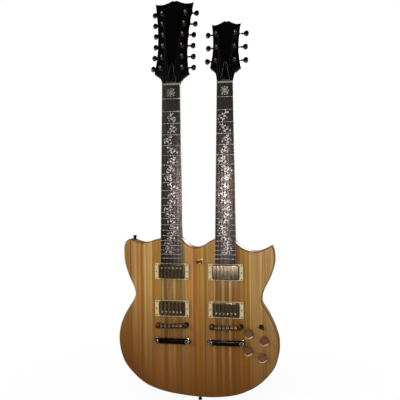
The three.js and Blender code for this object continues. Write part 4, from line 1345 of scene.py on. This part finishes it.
@dataclass
class Vine:
    """A pearl inlay of leaves and buds on a swaying stem, cut for this fretboard."""

    neck: Neck
    sway: float = 6.5
    wave: float = 92.0
    stem_width: float = 1.3
    thickness: float = 0.3
    proud: float = 0.05
    first_fret: int = 3
    fret_gap: float = 1.6
    wide_room: float = 18.0
    longest_leaf: float = 8.0

    def stem_x(self, z: float) -> float:
        """Where the stem runs across the board at a place along it."""
        return self.neck.side.value * self.sway * math.sin(2 * math.pi * z / self.wave)

    def chip(self, draft: Draft, outline: Outline) -> None:
        """Adds one chip of pearl of that outline, let into the crown of the board."""
        draft.skin([
            [(x, self.neck.crown(x) + depth, z) for x, z in outline]
            for depth in (-self.proud, self.thickness)
        ])

    def leaf(self, draft: Draft, foot: Pair, length: float, width: float, turn: float) -> None:
        """Adds a pointed leaf.

        Args:
            draft: the inlay's draft.
            foot: where it grows from.
            length: its length.
            width: its width.
            turn: its direction, in radians from the board's length.
        """
        fullness = 0.8
        shares = np.linspace(0, 1, 9)[1:-1]
        edge = [(width / 2 * math.sin(math.pi * t) ** fullness, length * t) for t in shares]
        shape = [(0.0, 0.0), *edge, (0.0, length), *[(-x, z) for x, z in edge[::-1]]]
        cos, sin = math.cos(turn), math.sin(turn)
        self.chip(draft, [(foot[0] + x * cos + z * sin, foot[1] - x * sin + z * cos) for x, z in shape])

    def bud(self, draft: Draft, centre: Pair, radius: float) -> None:
        """Adds a round bud."""
        self.chip(draft, [(centre[0] + x, centre[1] + z) for x, z in circle(radius, 12)])

    def stem(self, draft: Draft, low: float, high: float) -> None:
        """Adds a stretch of the stem, from one place along the neck to another."""
        places = np.linspace(low, high, 7)
        right = [(self.stem_x(z) + self.stem_width / 2, z) for z in places]
        left = [(self.stem_x(z) - self.stem_width / 2, z) for z in places[::-1]]
        self.chip(draft, right + left)

    def curl(
        self, draft: Draft, centre: Pair, radius: float, start: float, sweep: float, width: float = 0.9,
    ) -> None:
        """Adds a curled tendril.

        Args:
            draft: the inlay's draft.
            centre: the curl's middle.
            radius: its outer radius.
            start: where it starts, in radians from the board's length.
            sweep: how far it runs round.
            width: its width where it starts.
        """
        turns = np.linspace(0, 1, 9)
        taper = 0.6
        outer = [(radius, start + sweep * t) for t in turns]
        inner = [(radius - width * (1 - taper * t), start + sweep * t) for t in turns[::-1]]
        self.chip(draft, [self.around(centre, reach, angle) for reach, angle in outer + inner])

    def around(self, centre: Pair, reach: float, angle: float) -> Pair:
        """The point at a reach from a centre, at an angle from the board's length."""
        return (centre[0] + reach * math.sin(angle), centre[1] + reach * math.cos(angle))

    def medallion(self, draft: Draft, middle: float, reach: float) -> None:
        """Adds the medallion of leaves and curls, of half width reach, about a place on the neck."""
        hub = (0.0, middle)
        for k in range(8):
            turn = (k + 0.5) * math.pi / 4
            self.leaf(draft, self.around(hub, 0.12 * reach, turn), reach * 0.5, 1.9, turn)
            self.curl(draft, self.around(hub, 0.82 * reach, turn), reach * 0.24, turn + 2.4, 4.4)
            far = reach * (1.28 if k % 2 else 1.12)
            self.leaf(draft, self.around(hub, far, turn + 0.39), reach * 0.36, 1.5, turn + 3.5)
        for x in (-1, 1):
            for z in (-1, 1):
                self.leaf(draft, (x * reach, middle + z * reach), reach * 0.5, 1.8, math.atan2(-x, -z) + 0.25)
                self.bud(draft, (x * reach * 0.62, middle + z * reach * 1.22), 0.8)

    def build(self) -> None:
        """Makes the inlay of one neck."""
        draft = Draft(self.neck.frame)
        nut, first = self.neck.fret_place(0), self.neck.fret_place(1)
        self.medallion(draft, (nut + first) / 2 - 1.5, 9.0)
        for number in range(self.first_fret, FRETS):
            low = self.neck.fret_place(number) + self.fret_gap
            high = self.neck.fret_place(number - 1) - self.fret_gap
            room = high - low
            self.stem(draft, low, high)
            size = min(room * 0.5, self.longest_leaf)
            rows = 5 if room > self.wide_room else 3
            for k in range(rows):
                side = 1 if (k + number) % 2 else -1
                place = low + room * (0.1 + 0.8 * k / rows)
                foot = (self.stem_x(low + room * k / rows) + side * 0.7, place)
                self.leaf(draft, foot, size, size * 0.38, side * (0.8 + 0.2 * ((k + number) % 3)))
            far = -1 if number % 2 else 1
            middle = low + room / 2
            tendril = (self.stem_x(middle) + far * 8.6, middle)
            lower = (self.stem_x(low) + far * 10.5, low + room * 0.12)
            upper = (self.stem_x(high) - far * 7.0, high - room * 0.1)
            self.curl(draft, tendril, size * 0.5, far * 3.6, -far * 4.6)
            self.leaf(draft, lower, size * 0.8, size * 0.34, far * 0.3)
            self.leaf(draft, upper, size * 0.7, size * 0.32, far * 2.6)
            self.bud(draft, tendril, 1.1)
            self.bud(draft, (self.stem_x(middle) - far * 9.0, low + room * 0.35), 1.3)
        draft.piece(f"pearl_vine_{self.neck.key}", Slot.BOARD, [PEARL])


@dataclass
class MachineHead:
    """One tuning machine: the housing and bushing on the head, the string post, and the key."""

    key: str
    side: Side
    frame: Matrix
    gear_middle: float = 18.5
    worm_offset: float = 6.9
    housing_back: float = 22.9
    reach: float = 19.5
    button_length: float = 13.0
    button_half: float = 8.2
    button_depth: float = 3.2

    def build(self) -> None:
        """Makes the three pieces, each on the body that carries it."""
        self.housing()
        self.post()
        self.tuning_key()

    def housing(self) -> None:
        """Makes the gear housing behind the head and the bushing in front of it."""
        draft = Draft(self.frame)
        low, high, half = -6.8, 11.3, 6.8
        shape = rounded_rectangle(2 * half, high - low, 3.4)
        box = draft.at((0, 0, (low + high) / 2))
        box.slab(shape, HEAD_THICKNESS + 0.02, self.housing_back, 0.2, 1.8)
        draft.at((0, self.housing_back, 0), BACKWARDS, coat=1).screw(2.2, 0.5)
        bushing = (
            (3.4, -2.2), (4.4, -2.2), (4.8, -1.8), (4.8, -1.0), (5.7, -0.9), (5.9, -0.5), (5.9, -0.02),
            (3.4, -0.02),
        )
        draft.at(coat=2).skin([at_depth(circle(radius), y) for radius, y in bushing], looped=True)
        draft.piece(f"machine_housing_{self.key}", Slot.GOLD, [GOLD, DARK_NICKEL, BRONZE])

    def post(self) -> None:
        """Makes the string post with its turns of string."""
        draft = Draft(self.frame)
        draft.lathe([
            (0, -12.6), (1.3, -12.6), (1.6, -13.0), (2.6, -13.0), (3.0, -12.6), (3.0, -10.8), (2.5, -9.6),
            (2.2, -8.6), (2.2, -6.2), (2.5, -4.6), (3.0, -3.4), (3.0, self.gear_middle),
            (0, self.gear_middle),
        ], 28)
        turns, steps, pitch, gauge, radius, first = 3, 16, 1.0, 0.42, 2.65, -8.6
        coil = []
        for k in range(turns * steps + 1):
            angle = 2 * math.pi * k / steps
            depth = first + pitch * k / steps
            coil.append(Vector((radius * math.cos(angle), depth, radius * math.sin(angle))))
        draft.at(coat=1).tube(coil, gauge, 6, (0, 1, 0))
        node = f"string_post_{self.key}"
        draft.piece(f"post_{self.key}", Slot.GOLD, [POST_METAL, STEEL], body=node, replaces=[node])

    def tuning_key(self) -> None:
        """Makes the key: its worm shaft, collar and button."""
        turn = Matrix.Rotation(math.pi if self.side is Side.LEFT else 0, 4, "Y")
        along = Matrix.Rotation(-math.pi / 2, 4, "Z")
        draft = Draft(self.frame @ Matrix.Translation((0, self.gear_middle, self.worm_offset)) @ turn)
        reach, overlap = self.reach, 0.5
        draft.at(turn=along, coat=1).lathe([
            (0, -4.5), (2.1, -4.5), (2.1, 4.5), (1.6, 4.6), (1.6, reach - 6.0), (2.2, reach - 5.4),
            (2.6, reach - 3.6), (2.2, reach - 2.4), (2.0, reach - 1.2), (2.4, reach), (0, reach),
        ], 20)
        widths = (
            (0, 0.3), (0.08, 0.55), (0.25, 0.85), (0.45, 1), (0.65, 1), (0.85, 0.82), (0.95, 0.55), (1, 0.3),
        )
        depths = ((0, 0.6), (0.25, 0.8), (0.55, 1), (0.85, 0.88), (0.95, 0.62), (1, 0.3))
        angles = np.linspace(0, 2 * math.pi, 25)[:-1]
        rings = []
        for share in (0, 0.05, 0.12, 0.2, 0.3, 0.4, 0.5, 0.6, 0.7, 0.8, 0.88, 0.94, 0.98, 1):
            half = self.button_half * table_at(widths, share)
            depth = self.button_depth * table_at(depths, share)
            x = reach - overlap + (self.button_length + overlap) * share
            rings.append([(x, depth * math.sin(angle), half * math.cos(angle)) for angle in angles])
        draft.skin(rings)
        node, finishes = f"tuning_key_{self.key}", [BUTTON_METAL, DARK_NICKEL]
        draft.piece(f"key_{self.key}", Slot.NICKEL, finishes, body=node, replaces=[node], crease=50)


# What stands on the body's face
@dataclass
class Pickup:
    """A covered pickup in its mounting ring."""

    name: str
    neck: Neck
    place: float
    poles_at: float
    ring: tuple[float, float, float] = (90.7, RING_LENGTH, 3.0)
    cover: tuple[float, float, float] = (69.0, 37.0, 3.5)
    ring_height: float = 5.0
    rise: float = 3.2
    window_gap: float = 0.6
    pole_share: float = 0.95
    screw_margins: Pair = (4.2, 4.0)

    def build(self) -> None:
        """Makes the ring, the cover, the poles and the screws."""
        draft = Draft(Matrix.Translation((self.neck.centre, 0, self.place)))
        back = FACE - SEAT
        front = back - self.ring_height
        width, length, corner = self.cover
        gap = 2 * self.window_gap
        window = rounded_rectangle(width + gap, length + gap, corner)
        draft.frame(rounded_rectangle(*self.ring), window, front, back, 1.1)
        cover = draft.at(coat=1)
        top = front - self.rise
        cover.slab(rounded_rectangle(width, length, corner), top, FACE + PICKUP_DEPTH, 1.5, 0, band=0.6)
        for k, x in enumerate(across_courses(COURSE_PITCH * self.pole_share)):
            cover.at((x, top, self.poles_at), coat=2).screw(2.3, 0.6, slot_turn=0.5 + 0.9 * k)
        ring_x, ring_z = (size / 2 - margin for size, margin in zip(self.ring, self.screw_margins))
        for x in (-ring_x, ring_x):
            for z in (-ring_z, ring_z):
                draft.at((x, front, z), coat=3).screw(1.9, 0.5, slot_turn=x + z)
            draft.at((x, front, 0), coat=3).screw(1.7, 0.8, slot_turn=x)
        finishes = [CREAM, COVER_METAL, BRIGHT_NICKEL, DARK_NICKEL]
        draft.piece(f"{self.name}_set", Slot.GOLD, finishes, replaces=[self.name])


@dataclass
class Bridge:
    """A bridge on two studs, with six saddles on their screws."""

    neck: Neck
    width: float = 84.5
    length: float = 12.0
    depth: float = 7.0
    channel: tuple[float, float, float] = (64.0, 7.4, 4.4)
    stud_spacing: float = 74.0
    saddle_rise: float = 1.4
    string_seat: float = 1.25

    def build(self) -> None:
        """Makes the bridge."""
        turn = Matrix.Rotation(-BRIDGE_SLANT, 4, "Y")
        draft = Draft(Matrix.Translation((self.neck.centre, 0, 0)) @ turn)
        front = STRING_PLANE + self.string_seat + self.saddle_rise
        floor = front + self.channel[2]
        outer = rounded_rectangle(self.width, self.length, self.length * 0.45)
        inner = rounded_rectangle(self.channel[0], self.channel[1], 1.0)
        draft.frame(outer, inner, front, floor, 1.0)
        draft.slab(outer, floor - 0.01, front + self.depth, 0, 1.0)
        for x in across_courses(COURSE_PITCH):
            self.saddle(draft.at((x, 0, 0)), front, floor)
        for side in (-1, 1):
            stud = draft.at((side * self.stud_spacing / 2, 0, 0))
            stud.pin(2.6, floor, FACE + STUD_DEPTH, 20)
            wheel = circle(7.5, 72, 0.5, 24)
            stud.at(coat=3).slab(wheel, FACE - SEAT - 2.4, FACE - SEAT, 0.3, steps=2)
            stud.at((0, front, 0), coat=1).screw(3.0, 0.7, slot_turn=0.4 + side)
        key = self.neck.key
        finishes = [BRIDGE_METAL, DARK_NICKEL, SADDLE_METAL, STRAP_METAL]
        draft.piece(f"bridge_set_{key}", Slot.NICKEL, finishes, replaces=[f"bridge_{key}"])

    def saddle(self, draft: Draft, front: float, floor: float) -> None:
        """Adds one saddle and its adjusting screw.

        Args:
            draft: the bridge's draft, in the saddle's frame.
            front: the bar's front face.
            floor: the channel's floor.
        """
        half, long, crest = 3.5, self.channel[1] / 2 - SEAT, front - self.saddle_rise
        ridge = [
            (-long, floor), (long, floor), (long, front + 1), (0.9, crest), (-0.9, crest), (-long, front + 1),
        ]
        rings = [[(x, y + abs(x) * 0.1, z) for z, y in ridge] for x in np.linspace(-half, half, 5)]
        draft.at(coat=2).skin(rings)
        rod = [Vector((0, front + 1.8, z)) for z in (-self.length / 2 + 0.2, 0, self.length / 2 + 0.4)]
        draft.at(coat=2).tube(rod, 0.9, 10)


@dataclass
class Tailpiece:
    """A stop tailpiece: a rounded bar hung on two slotted studs."""

    neck: Neck
    width: float = 98.4
    stud_spacing: float = 82.4

    def build(self) -> None:
        """Makes the tailpiece."""
        draft = Draft(Matrix.Translation((self.neck.centre, 0, TAILPIECE_PLACE)))
        back = FACE - TAILPIECE_LIFT
        front = back - TAILPIECE_DEPTH
        foot = FACE - SEAT
        bar = rounded_rectangle(self.width, TAILPIECE_LENGTH, TAILPIECE_LENGTH * 0.49, 10)
        draft.slab(bar, front, back, 4.4, 2.4, 8)
        for side in (-1, 1):
            stud = draft.at((side * self.stud_spacing / 2, 0, 0), coat=1)
            stud.pin(4, front, FACE + STUD_DEPTH, 24)
            stud.lathe([
                (4, front + 1), (5.8, front + 1), (5.8, front - 0.4), (5.2, front - 0.9), (4, front - 0.9),
            ], 28)
            stud.at((0, front - 0.1, 0), coat=0).screw(4.4, 0.9, slot_turn=side * 0.5, slot_share=0.14)
            stud.lathe([(5.4, foot - 1.6), (6.4, foot - 1.2), (6.4, foot), (0, foot)], 28)
        key, finishes = self.neck.key, [TAIL_METAL, POST_METAL]
        draft.piece(f"tailpiece_set_{key}", Slot.GOLD, finishes, replaces=[f"tailpiece_{key}"])


@dataclass
class Knob:
    """A bell knob in clear amber over a brown core, on its pot's shaft."""

    number: int
    radius: float = 12.0
    top_radius: float = 9.4
    height: float = 13.5

    def build(self) -> None:
        """Makes the knob where its joint is."""
        node = f"knob_{self.number}"
        x, _, z = joint_of(node)
        base = FACE - SEAT
        top = base - self.height
        draft = Draft(Matrix.Translation((x, 0, z)))
        rim, foot, dish, shaft_end = self.top_radius, self.radius + 0.3, 1.0, 2 - CAVITY_DEPTH
        draft.lathe([
            (rim - 2.6, top + dish), (rim - 1.4, top + 0.3), (rim - 0.8, top), (rim - 0.3, top + 0.1),
            (rim - 0.3, top + 2 * dish),
        ], 48)
        draft.at(coat=1).lathe([(0, top + dish - 0.1), (rim - 2.6, top + dish)], 48)
        draft.at(coat=2).lathe([
            (rim - 0.3, top + 2 * dish), (rim - 0.3, top + 0.1), (rim + 0.4, top + 0.6),
            (rim + 0.9, top + 1.8), (rim + 1.0, top + 5.5), (rim + 1.1, base - 4.0), (rim + 1.1, base - 2.6),
            (rim + 1.3, base - 2.5), (foot, base - 0.5), (foot, base), (0, base),
        ], 48)
        draft.at(coat=3).lathe([(3, base - 1), (3, shaft_end), (0, shaft_end)], 20)
        finishes = [AMBER, AMBER_TOP, AMBER_SKIRT, DARK_NICKEL]
        draft.piece(f"bell_{node}", Slot.AMBER, finishes, body=node, replaces=[node])


@dataclass
class ToggleSwitch:
    """A toggle switch: a knurled nut on the face, and a lever with a black tip."""

    node: str
    lean: float
    nut_finish: Finish
    tilt: float = math.radians(17)
    nut_radius: float = 6.4
    nut_height: float = 2.4
    bore_radius: float = 4.0
    length: float = 22.0

    def build(self) -> None:
        """Makes the nut on the body and the lever on its own body."""
        x, y, z = joint_of(self.node)
        place = Matrix.Translation((x, 0, z))
        nut = Draft(place)
        bore = circle(self.bore_radius, 72)
        nut.frame(circle(self.nut_radius, 72, 0.35, 24), bore, FACE - self.nut_height, FACE, 0.5)
        nut.frame(circle(self.nut_radius + 1, 72), bore, FACE - 0.7, FACE, 0.3)
        nut.piece(f"{self.node}_nut", Slot.GOLD, [self.nut_finish])
        draft = Draft(Matrix.Translation((x, y, z)) @ Matrix.Rotation(self.lean * self.tilt, 4, "Z"))
        tip, shaft = -self.length, 1.5
        draft.at(coat=1).lathe([
            (shaft, tip + 12.5), (shaft, -3), (2.6, -2.4), (3.2, 0), (2.4, 2.2), (0, 3.0),
        ], 24)
        draft.lathe([
            (0, tip), (1.8, tip + 0.2), (2.8, tip + 0.9), (3.4, tip + 2.2), (3.5, tip + 4.0),
            (3.1, tip + 6.6), (2.5, tip + 9.6), (2.1, tip + 13.0), (shaft, tip + 13.0),
        ], 28)
        stick = [BLACK_PLASTIC, self.nut_finish]
        draft.piece(f"{self.node}_stick", Slot.BLACK, stick, body=self.node, replaces=[self.node])


def joint_of(body: str) -> Vector:
    """Where a body's joint lies in the part's frame, in millimetres."""
    found = next(joint for joint in frame["joints"] if joint["child"] == body)
    return Vector(found["pos_m"]) / MM


NECKS = (
    Neck(
        key="12", side=Side.LEFT, strings=12, nut_width=48.5, end_width=58.0,
        head_width=105.0, head_length=235.3,
        flank_shares=(
            (0.295, 0.067), (0.448, 0.121), (0.415, 0.214), (0.39, 0.339), (0.387, 0.445), (0.402, 0.594),
            (0.427, 0.731), (0.467, 0.861), (0.5, 0.97),
        ),
        crest_shares=((0.429, 0.96), (0.295, 0.96), (0.171, 0.976), (0.062, 0.999), (0, 0.992)),
        first_post=42.0, post_pitch=31.2, post_shares=(0.277, 0.259, 0.243, 0.252, 0.281, 0.305),
    ),
    Neck(
        key="6", side=Side.RIGHT, strings=6, nut_width=42.5, end_width=55.0,
        head_width=77.6, head_length=166.6,
        flank_shares=(
            (0.341, 0.149), (0.518, 0.23), (0.474, 0.352), (0.441, 0.504), (0.441, 0.665), (0.47, 0.854),
            (0.5, 0.948),
        ),
        crest_shares=((0.425, 0.943), (0.33, 0.945), (0.193, 0.971), (0.077, 1), (0, 0.991)),
        first_post=55.9, post_pitch=37.4, post_shares=(0.322, 0.303, 0.325),
    ),
)
JACK = Jack()
REAR_COVERS = (
    RearCover(
        "control_plate", "control_cover", body_point((0.34, 0.366)), rounded_rectangle(78.0, 114.0, 22.0, 10),
        ((-34, 0), (34, 0), (0, 52), (0, -52), (-30, -44), (30, 44)),
    ),
    RearCover(
        "switch_plate", "switch_cover", body_point((0.012, 0.857)), circle(17.0, 48),
        ((-13.5, 0), (7, 11.6), (7, -11.6)),
    ),
)


@dataclass(frozen=True)
class Lamp:
    """A rectangular soft light, in metres and watts."""

    name: str
    place: Triple
    size: Pair
    power: float
    tone: str
    aim: Triple = (0, 0, 0.25)

    def hang(self) -> None:
        """Hangs the light, turned to the guitar."""
        light = bpy.data.lights.new(self.name, "AREA")
        light.energy = self.power
        light.shape = "RECTANGLE"
        light.size, light.size_y = self.size
        light.color = hex_colour(self.tone)[:3]
        turn = (Vector(self.aim) - Vector(self.place)).to_track_quat("-Z", "Y")
        link(self.name, light).matrix_world = Matrix.Translation(self.place) @ turn.to_matrix().to_4x4()


@dataclass
class Studio:
    """The floor, the lights and the camera, in metres."""

    floor_level: float = -0.2012
    floor_radius: float = 1.6
    floor_tone: tuple[float, ...] = (0.86, 0.86, 0.86, 1)
    floor_fade: Pair = (0.25, 0.8)
    floor_mirrored: float = 0.18
    ambient: float = 0.55
    room_low: tuple[float, ...] = (0.2, 0.195, 0.17, 1)
    room_high: tuple[float, ...] = (0.02, 0.02, 0.02, 1)
    room_change: Pair = (0.12, 0.5)
    camera_place: Triple = (0.3060, -1.5737, 0.3608)
    camera_aim: Triple = (-0.1927, 0.9810, -0.0213)
    camera_roll: float = math.radians(-0.56)
    lens: float = 54.2
    sensor: float = 36.0
    lamps: tuple[Lamp, ...] = (
        Lamp("key_softbox", (-1.5, -1.7, 0.9), (0.9, 0.9), 27, "fffaf2"),
        Lamp("fill_softbox", (1.6, -1.3, 0.6), (1.0, 1.0), 10, "f4f7ff"),
        Lamp("window", (-0.16, -1.60, 0.25), (0.18, 0.42), 1.15, "fff0ea"),
        Lamp("window_foot", (-0.16, -1.60, -0.013), (0.18, 0.105), 0.27, "f4ecff"),
        Lamp("window_sill", (-0.16, -1.60, -0.105), (0.18, 0.055), 0.001, "ccc8ff"),
        Lamp("flash", (-0.14, -1.60, 0.46), (0.045, 0.15), 4.0, "ffe2da"),
        Lamp("second_window", (-0.415, -1.60, 0.45), (0.06, 0.1), 0.6, "ffe0d6"),
        Lamp("back_softbox", (0.6, 2.2, 1.2), (1.4, 1.4), 30, "ffffff"),
    )

    def build(self) -> None:
        """Makes the studio."""
        self.world()
        self.floor()
        for lamp in self.lamps:
            lamp.hang()
        self.camera()

    def world(self) -> None:
        """Sets a white backdrop, an even light, and a dimmer room for what the metal reflects."""
        world = bpy.data.worlds.new("studio")
        bpy.context.scene.world = world
        world.use_nodes = True
        world.node_tree.nodes.clear()
        graph = Graph(world.node_tree)
        white = (1, 1, 1, 1)
        height = graph.coordinate(graph.node("TexCoord", None).outputs["Generated"], "Z")
        start, end = self.room_change
        share = graph.spread(height, start=start, end=end)
        room = graph.ramp(share, [(0.0, self.room_low), (1.0, self.room_high)])
        seen, mirrored, ambient = (
            graph.node("Background", None, Color=colour, Strength=strength).outputs[0]
            for colour, strength in ((white, 1.0), (room, 1.0), (white, self.ambient))
        )
        ray = graph.node("LightPath", None).outputs
        shiny = graph.math("ADD", ray["Is Glossy Ray"], ray["Is Transmission Ray"], clamp=True)
        lit = graph.overlay(shiny, ambient, mirrored)
        graph.node("OutputWorld", None, Surface=graph.overlay(ray["Is Camera Ray"], lit, seen))

    def floor(self) -> None:
        """Lays a pale round floor that fades into the white backdrop and keeps the shadow."""
        data = bpy.data.meshes.new("floor")
        mesh = bmesh.new()
        bmesh.ops.create_circle(mesh, cap_ends=True, segments=96, radius=self.floor_radius)
        mesh.transform(Matrix.Translation((0, 0, self.floor_level)))
        mesh.to_mesh(data)
        mesh.free()
        material, graph, shader = open_material("pale_floor")
        graph.wire(shader, Base_Color=self.floor_tone, Roughness=0.7)
        reach = graph.node("VectorMath", {"operation": "LENGTH"}, graph.place()).outputs["Value"]
        start, end = self.floor_fade
        ray = graph.node("LightPath", None).outputs
        share = graph.spread(graph.spread(reach, start=start, end=end), 0.9, 1.0)
        white, dim = (
            graph.node("Emission", None, Color=(1, 1, 1, 1), Strength=strength).outputs[0]
            for strength in (1.0, self.floor_mirrored)
        )
        seen = graph.overlay(graph.times(share, ray["Is Camera Ray"]), shader.outputs[0], white)
        surface = graph.overlay(ray["Is Glossy Ray"], seen, dim)
        graph.wire(material.node_tree.nodes["Material Output"], Surface=surface)
        data.materials.append(material)
        link("floor", data)

    def camera(self) -> None:
        """Sets the camera at the photograph's angle."""
        data = bpy.data.cameras.new("camera")
        data.lens = self.lens
        data.sensor_width = self.sensor
        aim = Vector(self.camera_aim).normalized()
        level = aim.cross(Vector((0, 0, 1))).normalized()
        upright = level.cross(aim)
        cos, sin = math.cos(self.camera_roll), math.sin(self.camera_roll)
        right, top = cos * level + sin * upright, cos * upright - sin * level
        turned = Matrix((right, top, -aim)).transposed().to_4x4()
        made = link("camera", data)
        made.matrix_world = Matrix.Translation(self.camera_place) @ turned
        bpy.context.scene.camera = made
        bpy.context.scene.view_settings.view_transform = "Standard"


def main() -> None:
    """Builds every sub-assembly in order."""
    logging.basicConfig(level=logging.INFO, format="%(name)s: %(message)s")
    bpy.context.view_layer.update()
    Studio().build()
    BodyShell().build()
    for cover in REAR_COVERS:
        cover.build()
    JACK.build()
    for neck in NECKS:
        neck.build()
        Pickup(f"neck_pickup_{neck.key}", neck, NECK_PICKUP_PLACE, POLE_OFFSET).build()
        Pickup(f"bridge_pickup_{neck.key}", neck, BRIDGE_PICKUP_PLACE, -POLE_OFFSET).build()
        Bridge(neck).build()
        Tailpiece(neck).build()
    for number in range(1, KNOBS + 1):
        Knob(number).build()
    ToggleSwitch("neck_switch_lever", -1, GOLD).build()
    ToggleSwitch("pickup_switch_lever", 1, STRAP_METAL, nut_radius=5.4).build()


if __name__ == "__main__":
    main()
